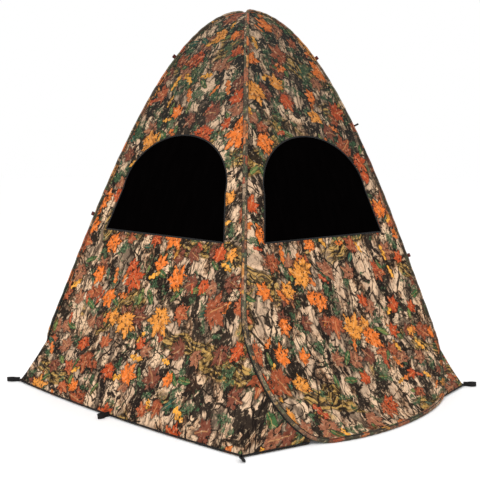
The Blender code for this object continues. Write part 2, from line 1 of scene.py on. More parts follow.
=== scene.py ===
"""Looks of a two-hoop pop up ground blind: thin printed walls, sleeves, mesh windows, zips and webbing.

The frame gives the bodies, the nodes and the record. The driving dimensions below are the part's own, so
that every sheet lies where its CAD solid does. Metres, +Z up, front wall at -Y.
"""

import json
import math
from functools import partialmethod

import bmesh
import bpy
import numpy as np
from mathutils import Matrix, Vector, noise
from mathutils.bvhtree import BVHTree


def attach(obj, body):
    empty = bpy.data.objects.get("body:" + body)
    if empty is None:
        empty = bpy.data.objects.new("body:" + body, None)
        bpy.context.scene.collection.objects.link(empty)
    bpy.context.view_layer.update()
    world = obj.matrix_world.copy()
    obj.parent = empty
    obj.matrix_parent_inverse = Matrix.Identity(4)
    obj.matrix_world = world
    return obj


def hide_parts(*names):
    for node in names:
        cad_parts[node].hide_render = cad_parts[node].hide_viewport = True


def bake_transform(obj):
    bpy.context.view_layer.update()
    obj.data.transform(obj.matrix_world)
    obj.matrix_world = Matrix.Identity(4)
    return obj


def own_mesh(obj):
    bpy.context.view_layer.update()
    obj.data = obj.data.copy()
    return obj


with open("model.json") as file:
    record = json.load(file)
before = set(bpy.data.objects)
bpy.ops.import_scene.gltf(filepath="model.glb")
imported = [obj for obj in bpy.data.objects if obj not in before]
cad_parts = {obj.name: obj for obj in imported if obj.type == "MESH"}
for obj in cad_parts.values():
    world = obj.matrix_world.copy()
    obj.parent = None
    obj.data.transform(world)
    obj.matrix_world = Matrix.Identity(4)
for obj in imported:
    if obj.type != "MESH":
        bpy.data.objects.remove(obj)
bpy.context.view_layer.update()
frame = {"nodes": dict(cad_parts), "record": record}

# Driving dimensions of the part.
CORNER = 0.732
CROWN_Z = 1.691
CROWN_GAP = 0.035
SLEEVE_R = 0.009
SEAM = ((0.0, CROWN_Z), (0.345, CROWN_Z), (0.635, 0.87), (0.892, 0.23))
FLARE = ((0.892, 0.23), (0.93, 0.13), (CORNER * math.sqrt(2), 0.0))
LEAVE_Z = {"left": 0.49, "right": 0.28}
TOUCH = {"left": (-0.37, -0.83), "right": (0.42, -0.80)}
GROUND_HANDLES = ((-0.20, -0.915), (0.15, -0.915))
CORNER_HANDLES = {"left": (0.20, 0.16), "right": (0.13, 0.13)}
BULGE_TOP = 0.55
SIDE_PULL = 0.037
GUSSET_FROM = 0.03
HEM_R = 0.003
HEM_Z = 0.0085
WINDOW = (0.377, 0.323, 0.727, 0.911, 1.142)  # half width at sill and shoulder, then sill, shoulder, top
DOOR = (0.27, 0.27, 0.22, 0.86, 1.20)
MESH_DEPTH, TAPE_DEPTH, COIL_DEPTH = 0.0022, 0.0036, 0.0049  # below the outside of a wall
SLIDER_DEPTH, SLIDER_THICK, COVER_DEPTH = 0.0064, 0.0042, 0.0090
MESH_GROW, TAPE_GROW, COVER_INSET, COVER_DROP, DOOR_GAP = 0.012, 0.007, 0.014, 0.006, 0.004
SLIDER_SIZE = (0.010, 0.017)
PULL_SIZE = (0.006, 0.028)
PULL_GAP = 0.0012
WINDOW_SLIDER_Z = 0.745
DOOR_SLIDER_X = -0.2855
# Height of each door slider, then how far above it and off it the pull hangs.
DOOR_SLIDERS = {"upper": (0.64, 0.004, 0.0030), "lower": (0.61, 0.0, PULL_GAP)}
DOOR_SLIDER_GAP = 0.0020
BRUSH_LOOPS = {"left": (1.485, 0.78), "front": (1.485,), "right": (1.485, 0.605), "back": (1.485,)}
BRUSH_LOOP_SIZE = (0.013, 0.0065, 0.017)
GUY_LOOP_Z = 1.19
GUY_LOOP_SIZE = (0.022, 0.0065, 0.008)
SEAM_ANGLE = {"front": 0.0, "right": 90.0, "back": 180.0, "left": -90.0}
STAKE_LOOP_SIZE = (0.056, 0.022)
STAKE_LOOP_TAIL = 0.015
STAKE_LOOP_EYE = 0.011
STAKE_LOOP_START = HEM_R + 0.001
PLY = 0.0015
FACES = {"front": 0.0, "left": -90.0, "right": 90.0, "back": 180.0}
WINDOW_FACES = ("front", "left", "right")
SIDES = ("left", "right")
HOOP_BODY = {"front": "root", "back": "back_frame"}

# Sampling.
SEAM_ROWS = 14
CORNER_ROWS = 6
COLUMNS = 10
FINE_ROWS = 6  # rows of the fine mesh to one of the stations
FINE_COLUMNS = 10
ARCH_POINTS = 40
GUSSET_COLUMNS = 4
COVER_ROWS, COVER_COLUMNS = 30, 44
SLEEVE_STEPS = 7  # rings of a sleeve to one of the hoop's stations
SLEEVE_SIDES = 14

# How the cloth is made up.
CLOTH = 0.0008  # thickness of the printed fabric
TUCK = 0.004  # the edge of a wall stops this far from the wire, inside the sleeve
TAPE_CLOTH = 0.0009
COVER_CLOTH = 0.0007
MESH_CLOTH = 0.0005
THREAD_PITCH = 0.0016
PIPING_R = 0.0014  # dark cord where a wall is sewn to its sleeve, partly piping and partly painted shade in the seam
GUSSET_SHADE_CORD_R = 0.0036  # the same, where a gusset is, thicker as a painted shadow in the gap between gusset and sleeve
RIM_TAPE = (0.0075, 0.0024)  # width and thickness
COVER_TAPE = (0.009, 0.0021)
HEM_TAPE = (0.013, 0.0044)
FLAP_BEND = 0.035  # width of the strip of the door flap that bends at its hinge
# Share of its width that a piece inside a side window keeps when the frame folds, and the y it folds to.
COVER_FOLD = (0.06, -0.395)
SLIDER_FOLD = {"left": (0.24, -0.42), "right": (0.12, -0.42)}
BAR_REACH = (-1.3, -0.05)  # ends in y of a bar that cuts an opening
WALL_PRINT_STEP = 1.7  # the print of each wall is cut this far along from the last one's
SLEEVE_PRINT_START = 9.3
RIM_OUT = 0.0026  # from the opening's outline to the middle of its rim
STITCH = (0.006, 0.004, 0.0005)  # pitch, length and radius
STITCH_ROWS = (("inner", 0.0105), ("outer", 0.0165))  # how far each row lies outside the opening's outline
SLACK = ((2.6, 0.009), (6.5, 0.0035))  # scale and depth
PUCKER = (0.0021, 0.045, 0.062)  # depth, how far it fades over, and wavelength
HANG = (0.0034, 0.11, 0.11)
PLEAT = (0.0032, 0.22, 19)  # depth, how far it fades over, and waves round the crown
FLOOR_GAP = 0.0002


# Curves of the frame.


def bezier(points, t):
    points = [Vector(p) for p in points]
    while len(points) > 1:
        points = [a.lerp(b, t) for a, b in zip(points, points[1:])]
    return points[0]


SAMPLES = np.linspace(0.0, 1.0, 201)
SEAM_POINTS = np.array([bezier(SEAM, t) for t in SAMPLES])
FOLD_POINTS = np.vstack([SEAM_POINTS, [bezier(FLARE, t) for t in SAMPLES[1:]]])


def fold_radius(z):
    """Distance from the axis of a seam, or of the fold below it, at height z."""
    return float(np.interp(-z, -FOLD_POINTS[:, 1], FOLD_POINTS[:, 0]))


def wall_y(z):
    return fold_radius(z) / math.sqrt(2)


def wall_slope(z):
    step = 0.02
    return math.atan2(wall_y(z - step) - wall_y(z + step), 2 * step)


def on_seam(side, radius, z):
    across = radius / math.sqrt(2)
    return Vector((math.copysign(across, side), -math.hypot(across, CROWN_GAP), z))


def ground_stretch():
    controls = [TOUCH["left"], *GROUND_HANDLES, TOUCH["right"]]
    return [bezier(controls, j / COLUMNS).to_3d() + Vector((0, 0, SLEEVE_R)) for j in range(COLUMNS + 1)]


def leg(name):
    """Stations of one leg of the front hoop, from the crown to where it reaches the ground."""
    side = -1 if name == "left" else 1
    end = float(np.interp(-LEAVE_Z[name], -SEAM_POINTS[:, 1], SAMPLES))
    stations = [on_seam(side, *bezier(SEAM, end * k / SEAM_ROWS)) for k in range(SEAM_ROWS + 1)]
    leave = stations[-1]
    down = (on_seam(side, *bezier(SEAM, end + 0.01)) - leave).normalized()
    ground = ground_stretch()
    if name == "right":
        ground.reverse()
    along = (ground[1] - ground[0]).normalized()
    first, second = CORNER_HANDLES[name]
    controls = (leave, leave + down * first, ground[0] - along * second, ground[0])
    return stations + [bezier(controls, k / CORNER_ROWS) for k in range(1, CORNER_ROWS + 1)]


def hoop_path():
    return leg("right") + ground_stretch()[-2:0:-1] + leg("left")[:0:-1]


def square_to(way, along):
    """The part of a direction that is square to another, as a unit vector."""
    return (way - way.dot(along) * along).normalized()


def placed(x, y, z, at):
    """The frame with these axes at a point."""
    made = Matrix((x, y, z)).transposed().to_4x4()
    made.translation = at
    return made


def half_turn(point):
    return Vector((-point.x, -point.y, point.z))


def tangents(path):
    return [(path[(k + 1) % len(path)] - path[k - 1]).normalized() for k in range(len(path))]


def smooth_run(points, steps, cyclic=False):
    """A smooth curve through the points of the first axis of an array, with steps spans for each one."""
    points = np.array(points, float)
    if cyclic:
        padded = np.concatenate([points[-1:], points, points[:2]])
    else:
        padded = np.concatenate([2 * points[:1] - points[1:2], points, 2 * points[-1:] - points[-2:-1]])
    spans = len(padded) - 3
    t = (np.arange(steps) / steps).reshape((1, steps) + (1,) * (points.ndim - 1))
    p0, p1, p2, p3 = (padded[k : k + spans, None] for k in range(4))
    square = 2 * p0 - 5 * p1 + 4 * p2 - p3
    cube = 3 * p1 - p0 - 3 * p2 + p3
    run = 0.5 * (2 * p1 + (p2 - p0) * t + square * t**2 + cube * t**3)
    run = run.reshape((spans * steps,) + points.shape[1:])
    return run if cyclic else np.concatenate([run, points[-1:]])


def fine(grid):
    """A coarse grid of points as a smooth fine one."""
    rows = smooth_run(np.array(grid, float), FINE_ROWS)
    return smooth_run(rows.transpose(1, 0, 2), FINE_COLUMNS).transpose(1, 0, 2)


# Shader arithmetic.


def add_node(tree, kind, inputs=None, **settings):
    """A shader node. Each of its inputs is given as a Value, a socket, a number or a tuple."""
    node = tree.nodes.new(f"ShaderNode{kind}")
    for key, setting in settings.items():
        setattr(node, key, setting)
    for key, item in (inputs or {}).items():
        (item if isinstance(item, Value) else Value(tree, item)).into(node.inputs[key])
    return node


class Value:
    """A number or a socket in a node tree, with arithmetic that adds math nodes."""

    def __init__(self, tree, source):
        self.tree, self.source = tree, source

    def into(self, slot):
        if isinstance(self.source, bpy.types.NodeSocket):
            self.tree.links.new(self.source, slot)
        else:
            slot.default_value = self.source

    def math(self, operation, *others):
        node = add_node(self.tree, "Math", dict(enumerate((self, *others))), operation=operation)
        return Value(self.tree, node.outputs[0])

    def __rsub__(self, other):
        return Value(self.tree, other).math("SUBTRACT", self)

    __add__ = __radd__ = partialmethod(math, "ADD")
    __sub__ = partialmethod(math, "SUBTRACT")
    __mul__ = __rmul__ = partialmethod(math, "MULTIPLY")
    __truediv__ = partialmethod(math, "DIVIDE")
    abs = partialmethod(math, "ABSOLUTE")
    max = partialmethod(math, "MAXIMUM")

    def step(self, low, high):
        """0 below low and 1 above high, smooth between. With low over high it falls instead."""
        ends = (low, high, 0.0, 1.0) if low < high else (high, low, 1.0, 0.0)
        inputs = dict(zip(("From Min", "From Max", "To Min", "To Max"), ends), Value=self)
        node = add_node(self.tree, "MapRange", inputs, interpolation_type="SMOOTHSTEP")
        return Value(self.tree, node.outputs["Result"])


class Point(Value):
    """A vector in a node tree."""

    def combined(self, operation, other):
        node = add_node(self.tree, "VectorMath", {0: self, 1: other}, operation=operation)
        return Point(self.tree, node.outputs[0])

    def scaled(self, *factors):
        return self.combined("MULTIPLY", (factors * 3)[:3])

    def moved(self, offset):
        return self.combined("ADD", offset)

    def turned(self, angle):
        """Turned about Z by a Value or a number, in radians."""
        node = add_node(self.tree, "VectorRotate", {"Vector": self, "Angle": angle}, rotation_type="Z_AXIS")
        return Point(self.tree, node.outputs[0])

    def parts(self):
        node = add_node(self.tree, "SeparateXYZ", {0: self})
        return [Value(self.tree, output) for output in node.outputs]

    def noise(self, scale, detail=2.0, rough=0.5):
        inputs = {"Vector": self, "Scale": scale, "Detail": detail, "Roughness": rough}
        node = add_node(self.tree, "TexNoise", inputs, noise_dimensions="2D")
        return Value(self.tree, node.outputs[0]), Point(self.tree, node.outputs["Color"])

    def stretched(self, across, along, detail=2.0, rough=0.5):
        """Noise with a scale of its own along each thread."""
        return self.scaled(across, along, 1.0).noise(1.0, detail, rough)[0]

    def cells(self, scale, randomness, feature="F1"):
        inputs = {"Vector": self, "Scale": scale, "Randomness": randomness}
        return add_node(self.tree, "TexVoronoi", inputs, voronoi_dimensions="2D", feature=feature)


def rgb(*values):
    """A colour given as screen values from 0 to 255, as linear light."""
    return tuple(c / 3294.6 if c <= 10 else ((c / 255 + 0.055) / 1.055) ** 2.4 for c in values) + (1.0,)


def mixed(tree, share, below, above):
    """The colour above over the colour below. Each is a tuple or a socket.

    The mix node's colours are its inputs 6 and 7 and its output 2."""
    return add_node(tree, "Mix", {0: share, 6: below, 7: above}, data_type="RGBA").outputs[2]


def ramp(tree, value, stops, constant=False):
    """A colour ramp through (position, colour) stops."""
    node = add_node(tree, "ValToRGB", {0: value})
    node.color_ramp.interpolation = "CONSTANT" if constant else "LINEAR"
    elements = node.color_ramp.elements
    while len(elements) < len(stops):
        elements.new(0.5)
    for element, (position, colour) in zip(elements, stops):
        element.position = position
        element.color = colour
    return node.outputs[0]


def new_material(name, rough, metallic=0.0, gloss=0.5):
    made = bpy.data.materials.new(name)
    made.use_nodes = True
    shader = made.node_tree.nodes["Principled BSDF"]
    shader.inputs["Specular IOR Level"].default_value = gloss
    shader.inputs["Roughness"].default_value = rough
    shader.inputs["Metallic"].default_value = metallic
    return made, made.node_tree, shader


def add_bump(tree, shader, height, distance, strength):
    node = add_node(tree, "Bump", {"Height": height, "Distance": distance, "Strength": strength})
    tree.links.new(node.outputs[0], shader.inputs["Normal"])


def metres(tree):
    """The fabric's own coordinates, in metres along its two threads."""
    return Point(tree, add_node(tree, "UVMap", uv_map="fabric").outputs[0])


def object_point(tree):
    return Point(tree, add_node(tree, "TexCoord").outputs["Object"])


# The printed pattern: bark, logs, branches and autumn leaves.

BARK = (rgb(226, 190, 154), rgb(182, 142, 110), rgb(108, 79, 57), rgb(50, 38, 30))
SHADE = rgb(20, 16, 16)
TWIG = rgb(22, 17, 15)
STRAW = (rgb(186, 146, 80), rgb(110, 84, 44), rgb(28, 22, 14))
FLAME = (
    (0.0, rgb(226, 116, 46)),
    (0.3, rgb(184, 76, 38)),
    (0.55, rgb(222, 142, 60)),
    (0.78, rgb(150, 76, 48)),
)
GOLD = ((0.0, rgb(232, 160, 60)), (0.4, rgb(208, 108, 46)), (0.75, rgb(168, 68, 42)))
GHOST = ((0.0, rgb(152, 96, 70)), (0.4, rgb(118, 66, 50)), (0.75, rgb(172, 88, 54)))
MOSS = ((0.0, rgb(60, 96, 56)), (0.45, rgb(96, 118, 64)), (0.75, rgb(38, 84, 68)))
LEAVES = (  # kind, spacing, length, seed, share of cells with a leaf, colours, and how few holes
    ("maple", 0.125, 0.056, 3.0, 0.46, GHOST, 0.63),
    ("blade", 0.105, 0.034, 7.0, 0.34, MOSS, 0.66),
    ("oak", 0.088, 0.034, 11.0, 0.27, GOLD, 0.66),
    ("maple", 0.115, 0.048, 17.0, 0.31, FLAME, 0.64),
    ("maple", 0.2, 0.07, 23.0, 0.4, FLAME, 0.64),
)
BRANCHES = (  # scale across and along, width, lean, and how much of the cloth has them
    ((7.0, 3.0), 0.034, 0.2, 0.41),
    ((12.0, 6.5), 0.046, -0.4, 0.43),
    ((19.0, 14.0), 0.06, 0.9, 0.47),
)
LOGS = ((0.24, 0.37, 0.11, 0.5), (-0.5, 0.46, 0.31, 0.55))  # lean, spacing, shift, and how broken


def ridges(point, scale, width):
    """Wavy branching lines: 1 where a noise crosses its middle, falling to 0 at the width."""
    return (point.stretched(*scale, 3.0, 0.55) - 0.5).abs().step(width, width * 0.25)


def maple(angle, reach):
    """Share of the way from a maple leaf's heart to its edge: five pointed lobes with teeth."""
    side = angle.abs()
    edge = Value(angle.tree, 0.46)
    for centre, length, width in ((0.0, 1.0, 0.52), (0.92, 0.92, 0.5), (1.85, 0.7, 0.46)):
        edge = edge.max((1.0 - (side - centre).abs() / width) * (length - 0.46) + 0.46)
    teeth = (side * 21.0).math("SINE") * 0.065
    return reach / (edge + teeth)


def leaves(at, below, kind, spacing, length, seed, share, colours, holes):
    """Scatters one kind of leaf over the colour below, one to a cell at most."""
    tree = at.tree
    place = at.moved((seed * 1.37, seed * 0.71, 0.0))
    wobble = place.noise(28.0, 1.0)[1].scaled(0.012).moved((-0.006, -0.006, 0.0))
    place = place.moved(wobble)
    cell = place.cells(1.0 / spacing, 0.75)
    centre = Point(tree, cell.outputs["Position"]).scaled(-1.0)
    local = place.moved(centre)
    chance = Point(tree, cell.outputs["Color"]).parts()
    x, y, _ = local.turned(chance[0] * (2 * math.pi)).parts()
    size = length * (0.75 + 0.5 * chance[2])
    vein = (y.abs() / size).step(0.05, 0.01)
    if kind == "maple":
        reach = (x * x + y * y).math("SQRT") / size
        inside = maple(y.math("ARCTAN2", x), reach)
        vein = vein * (x + 0.2 * size).step(0.0, 0.004)
    elif kind == "oak":
        lobes = 0.72 + 0.28 * ((x / size) * 9.0).math("SINE")
        inside = ((y * 2.5).abs() / size / lobes).math("POWER", 2.0) + (x / size).math("POWER", 2.0)
    else:
        inside = ((y * 2.8).abs() / size).math("POWER", 2.0) + (x / size).abs().math("POWER", 1.4)
    there = chance[1].step(share + 0.001, share - 0.001)
    mask = inside.step(1.06, 0.94) * there
    fleck = at.noise(52.0, 2.0, 0.6)[0]
    mask = mask * fleck.step(holes + 0.05, holes)
    rim = inside.step(1.5, 1.0) * there
    grain = at.noise(38.0, 3.0, 0.65)[0]
    colour = ramp(tree, chance[1] * (1.0 / share), colours, constant=True)
    colour = mixed(tree, grain.step(0.5, 0.66) * 0.6, colour, rgb(84, 34, 20))
    colour = mixed(tree, vein * 0.35, colour, rgb(236, 180, 116))
    darkened = mixed(tree, rim * 0.86, below, SHADE)
    return mixed(tree, mask, darkened, colour)


def printed_colour(tree):
    """Colour of the printed cloth at a point of its own coordinates, with painted shade towards the crown.
    """
    at = metres(tree)
    drift = at.noise(6.0, 3.0)[1].scaled(0.11).moved((-0.055, -0.055, 0.0))
    loose = at.moved(drift)
    # Share of the way up towards the crown, used to paint shade there, where the top faces up into the
    # lamps.
    height = at.parts()[1].step(-1.05, -0.25)
    # Bark, streaked along the trunks, with fine cracks.
    streak = loose.stretched(30.0, 9.0, 4.0, 0.62)
    patch = at.noise(7.5, 4.0, 0.6)[0]
    stops = ((0.44, BARK[3]), (0.5, BARK[2]), (0.55, BARK[1]), (0.61, BARK[0]))
    bark = ramp(tree, streak * 0.48 + patch * 0.64, stops)
    busy = at.moved((7.7, 3.3, 0.0)).noise(7.0, 3.0, 0.55)[0].step(0.56, 0.46)
    colour = mixed(tree, (1.0 - busy) * 0.62, bark, rgb(224, 190, 158))
    colour = mixed(tree, ridges(loose, (17.0, 7.0), 0.02) * (0.45 + 0.47 * busy), colour, TWIG)
    fine_lines = ridges(loose.moved((5.0, 2.0, 0.0)), (36.0, 18.0), 0.026)
    colour = mixed(tree, fine_lines * (0.35 + 0.4 * busy), colour, TWIG)
    # Shadowed sides of the trunks, and deep shade between them.
    trunk = loose.stretched(8.0, 1.3)
    colour = mixed(tree, (trunk - 0.5).abs().step(0.04, 0.01) * 0.8, colour, rgb(48, 39, 34))
    # Towards the crown the deep shade spreads further, as painted shade.
    gloom = loose.moved((3.1, 1.7, 0.0)).stretched(10.5, 7.0, 4.0, 0.64) + height * 0.055
    colour = mixed(tree, gloom.step(0.54, 0.57) * 0.97, colour, SHADE)
    # Fallen logs and straw across the trunks.
    for turn, pitch, shift, breaks in LOGS:
        tilted = loose.turned(turn).moved((shift, shift, 0.0))
        phase = (tilted.parts()[1] / pitch).math("FRACT")
        extent = tilted.stretched(2.6, 1.2)
        log = (phase - 0.5).abs().step(0.12, 0.09) * extent.step(breaks - 0.02, breaks + 0.02)
        grain = tilted.stretched(14.0, 80.0, 3.0, 0.6)
        wood = ramp(tree, grain, ((0.42, STRAW[2]), (0.5, STRAW[1]), (0.6, STRAW[0])))
        colour = mixed(tree, log * 0.95, colour, wood)
    # Bare branches and saplings, thick and thin.
    for scale, width, turn, some in BRANCHES:
        lean = loose.turned(turn).moved((scale[0], 0.3, 0.0)).scaled(*scale, 1.0)
        edge = Value(tree, lean.cells(1.0, 1.0, "DISTANCE_TO_EDGE").outputs["Distance"])
        here = lean.noise(0.9, 2.0)[0].step(some, some + 0.05)
        colour = mixed(tree, edge.step(width, width * 0.35) * here * 0.95, colour, TWIG)
    # Green clumps, then leaves from the faded to the bright.
    tuft = at.moved((1.3, 5.2, 0.0)).noise(9.5, 5.0, 0.74)[0] + height * 0.05
    blade = at.stretched(260.0, 100.0)
    green = ramp(tree, blade, ((0.4, rgb(18, 34, 26)), (0.58, rgb(74, 104, 70))))
    colour = mixed(tree, tuft.step(0.58, 0.61) * 0.88, colour, green)
    for row in LEAVES:
        colour = leaves(at, colour, *row)
    # Flecks of light and dark all over.
    fleck = at.noise(66.0, 4.0, 0.66)[0]
    colour = mixed(tree, fleck.step(0.43, 0.39) * 0.88 * (0.3 + 0.7 * busy), colour, SHADE)
    # Painted shade: the cloth is drawn darker and bluer towards the crown, where it faces up into the lamps.
    colour = mixed(tree, height * 0.44, colour, rgb(24, 36, 38))
    return mixed(tree, fleck.step(0.6, 0.66) * 0.25, colour, rgb(240, 206, 166)), at


def printed_fabric(name, fade_and_highlight):
    made, tree, shader = new_material(name, 0.75, gloss=0.03)
    colour, at = printed_colour(tree)
    # Pale patches at random; the sleeves' larger share is a painted highlight along their raised ridge.
    colour = mixed(tree, at.noise(3.0, 2.0)[0] * fade_and_highlight, colour, rgb(240, 205, 165))
    tree.links.new(colour, shader.inputs["Base Color"])
    x, y, _ = at.scaled(2 * math.pi / THREAD_PITCH).parts()
    weave = x.math("SINE") * y.math("SINE")
    crease = at.noise(34.0, 3.0, 0.55)[0]
    add_bump(tree, shader, crease + weave * 0.03, 0.0022, 0.55)
    return made


def dimmed(colour, share):
    return tuple(min(1.0, c * share) for c in colour[:3]) + (1.0,)


def woven(name, colour, pitch, rough, depth=0.0003, gloss=0.15):
    """A plain woven cloth or webbing in one colour, drawn in the object's own space."""
    made, tree, shader = new_material(name, rough, gloss=gloss)
    at = object_point(tree)
    x, y, z = at.scaled(2 * math.pi / pitch).parts()
    weave = (x + z).math("SINE") * (y - z).math("SINE")
    patch = at.noise(30.0, 2.0)[0]
    # Painted shade: the hollows of the weave are drawn darker than its crests.
    tone = mixed(tree, weave.step(-0.8, 0.9), dimmed(colour, 0.55), colour)
    tone = mixed(tree, patch.step(0.35, 0.75) * 0.25, tone, dimmed(colour, 1.7))
    tree.links.new(tone, shader.inputs["Base Color"])
    add_bump(tree, shader, weave, depth, 0.7)
    return made


def metal(name, colour, rough):
    made, tree, shader = new_material(name, rough, 1.0)
    at = object_point(tree)
    scuff = at.noise(260.0, 4.0, 0.6)[0]
    tone = mixed(tree, scuff.step(0.4, 0.7), colour, dimmed(colour, 0.6))
    tree.links.new(tone, shader.inputs["Base Color"])
    (scuff * 0.25 + rough * 0.7).into(shader.inputs["Roughness"])
    add_bump(tree, shader, scuff, 0.0001, 0.3)
    return made


MATERIALS = {
    "camo_fabric": printed_fabric("printed_fabric", 0.02),
    # The sleeves' paler print is a painted highlight along their ridge.
    "sleeve_fabric": printed_fabric("sleeve_fabric", 0.12),
    "lining": woven("black_lining", rgb(30, 30, 31), 0.0016, 0.6),
    "cover_fabric": woven("cover_cloth", rgb(38, 38, 39), 0.0018, 0.7),
    "black_mesh": woven("window_mesh", rgb(4, 3, 3), 0.0026, 1.0, 0.0005, gloss=0.0),
    "webbing": woven("black_webbing", rgb(34, 33, 33), 0.0024, 0.7, 0.0006),
    "brown_webbing": woven("brown_webbing", rgb(92, 44, 38), 0.0024, 0.75, 0.0006),
    "zip_tape": woven("zip_tape", rgb(32, 31, 31), 0.0014, 0.7),
    "thread": woven("thread", rgb(58, 48, 40), 0.0010, 0.6),
    "zip_metal": metal("zip_metal", (0.42, 0.42, 0.43, 1.0), 0.32),
    "spring_steel": metal("spring_steel", (0.5, 0.5, 0.52, 1.0), 0.3),
}


# Sheets.


def link(obj, slot, body=None, replaces=(), material=None, wall=None):
    """Adds a piece to the scene with its slot. It rides on a body, or is held by a wall."""
    bpy.context.scene.collection.objects.link(obj)
    if not obj.data.materials:
        obj.data.materials.append(MATERIALS[material or slot])
    if replaces:
        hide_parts(*replaces)
    if body:
        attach(obj, body)
    if wall:
        hold(obj, wall)
    return obj


def smooth(obj, angle=50):
    obj.data.shade_smooth()
    obj.data.set_sharp_from_angle(angle=math.radians(angle))
    return obj


def inset(point, along, towards):
    return point + square_to(towards - point, along) * TUCK


def front_grid():
    """Rows of the front wall from the crown to the hoop on the ground, each left to right."""
    left, right, ground = leg("left"), leg("right"), ground_stretch()
    last = len(left) - 1
    rows = []
    for i in range(last + 1):
        rows.append([])
        for j in range(COLUMNS + 1):
            s = j / COLUMNS
            flat = left[i].lerp(right[i], s)
            low = ground[j] - left[last].lerp(right[last], s)
            swell = max(0.0, (BULGE_TOP - flat.z) / (BULGE_TOP - SLEEVE_R)) ** 2
            rows[-1].append(flat + low * swell)
    path_left, path_right = tangents(left + ground[1:3]), tangents(right + ground[-2:-4:-1])
    inner = [list(row) for row in rows]
    for i, row in enumerate(rows):
        if i:
            inner[i][0] = inset(row[0], path_left[i], row[1] if i < last else rows[-2][1])
            inner[i][-1] = inset(row[-1], path_right[i], row[-2] if i < last else rows[-2][-2])
    along_ground = tangents(ground)
    for j in range(1, COLUMNS):
        inner[-1][j] = inset(rows[-1][j], along_ground[j], rows[-2][j])
    return inner


def fold_point(point):
    across = wall_y(max(point.z, HEM_Z)) if point.z > SLEEVE_R + 1e-6 else wall_y(HEM_Z)
    return Vector((math.copysign(across, point.x), math.copysign(across, point.y), point.z))


def side_grids():
    """The left wall as one face between the folds, with the gusset beside each fold."""
    front = leg("left")
    back = [half_turn(p) for p in leg("right")]
    last = len(front) - 1
    folds, first_gusset, along = {}, {}, {}
    for name, stations in (("front", front), ("back", back)):
        folds[name] = [fold_point(p) for p in stations]
        apart = [i > SEAM_ROWS and (folds[name][i] - p).length > GUSSET_FROM for i, p in enumerate(stations)]
        first_gusset[name] = apart.index(True)
        along[name] = tangents(stations)
        along[name][0] = Vector((1, 0, 0))

    def drop(point, i):
        return Vector((point.x, point.y, HEM_R)) if i == last else point

    def row_end(name, i, stations, opposite):
        point, fold = stations[i], folds[name][i]
        if i >= first_gusset[name]:
            return drop(fold, i)
        share = min(1.0, (fold - point).length / GUSSET_FROM) if i > SEAM_ROWS else 0.0
        aim = (opposite[i] - point).normalized() * (1 - share)
        if share:
            aim += (fold - point).normalized() * share
        return inset(point, along[name][i], point + aim)

    face = []
    for i in range(last + 1):
        start, end = row_end("front", i, front, back), row_end("back", i, back, front)
        row = []
        for j in range(COLUMNS + 1):
            s = j / COLUMNS
            point = start.lerp(end, s)
            swell = max(0.0, (BULGE_TOP - point.z) / BULGE_TOP) ** 2
            point.x -= SIDE_PULL * swell * 4 * s * (1 - s)
            row.append(point)
        face.append(row)
    gussets = {}
    for name, stations, column in (("front", front, 0), ("back", back, -1)):
        first = first_gusset[name]
        rows = [[face[first - 1][column]] * GUSSET_COLUMNS]
        for i in range(first, last + 1):
            fold = face[i][column]
            edge = inset(stations[i], along[name][i], fold) if i < last else drop(rows[-1][-1], i)
            rows.append([fold.lerp(edge, k / (GUSSET_COLUMNS - 1)) for k in range(GUSSET_COLUMNS)])
        gussets[name] = (first - 1, rows)
    return face, gussets


def lengths_along(points):
    """Distance along each row of a grid of points from its start."""
    steps = np.linalg.norm(np.diff(points, axis=1), axis=2)
    return np.concatenate([np.zeros((len(points), 1)), np.cumsum(steps, axis=1)], axis=1)


def metric(points):
    """Signed distance along each row of a fine grid from its middle, and along its columns from the top."""
    middle = points.shape[1] // 2
    across = lengths_along(points)
    across -= across[:, middle, None]
    down = lengths_along(points[None, :, middle])[0]
    return across, np.repeat(down[:, None], points.shape[1], axis=1)


def side_x(shape, z):
    """Half width of an opening at a height below its arch."""
    sill_half, shoulder_half, sill, shoulder, _ = shape
    return sill_half + (shoulder_half - sill_half) * (z - sill) / (shoulder - sill)


def beside_opening(shape, x, z):
    """Distance in a wall from the rim of its window or door, roughly."""
    _, shoulder_half, sill, shoulder, top = shape
    if z > shoulder:
        rise = (z - shoulder) / (top - shoulder)
        return abs(math.hypot(x / shoulder_half, rise) - 1) * shoulder_half
    return abs(max(abs(x) - side_x(shape, z), sill - z))


def fading(ripple, distance, phase):
    """A wave that fades away from an edge of the cloth."""
    depth, fade, _ = ripple
    return depth * math.exp(-distance / fade) * math.sin(phase)


def ripples(points, u, v, near_edge, near_hem, shape, seed):
    """How far the cloth stands off its taut surface.

    Broad slack everywhere, puckers along the seams, pleats below the crown and folds above the hem."""
    out = np.zeros(u.shape)
    for index in np.ndindex(u.shape):
        a, b, edge, hem = u[index], v[index], near_edge[index], near_hem[index]
        rim = min(1.0, beside_opening(shape, a, points[index][2]) / 0.09)
        place = Vector((a + seed * 3.1, b, seed))
        broad = sum(noise.noise(place * scale) * depth for scale, depth in SLACK)
        held = min(1.0, edge / 0.12) * min(1.0, hem / 0.1) * (0.03 + 0.97 * rim)
        wave = 2 * math.pi * (b / PUCKER[2] + 0.8 * noise.noise(place * 5.0))
        pucker = fading(PUCKER, edge, wave) * min(1.0, edge / 0.008) * (0.2 + 0.8 * rim)
        angle = math.atan2(a, b + 0.05) * PLEAT[2] + 2.5 * noise.noise(place * 3.0)
        pleat = fading(PLEAT, b, angle) * held
        drape = 2 * math.pi * (a / HANG[2] + 0.9 * noise.noise(place * 3.4))
        hang = fading(HANG, hem, drape) * min(1.0, hem / 0.012)
        out[index] = broad * held + pucker + pleat + hang
    return out


def normals_of(points):
    down = np.gradient(points, axis=0)
    right = np.gradient(points, axis=1)
    facing = np.cross(down, right)
    length = np.linalg.norm(facing, axis=2, keepdims=True)
    return facing / np.maximum(length, 1e-9)


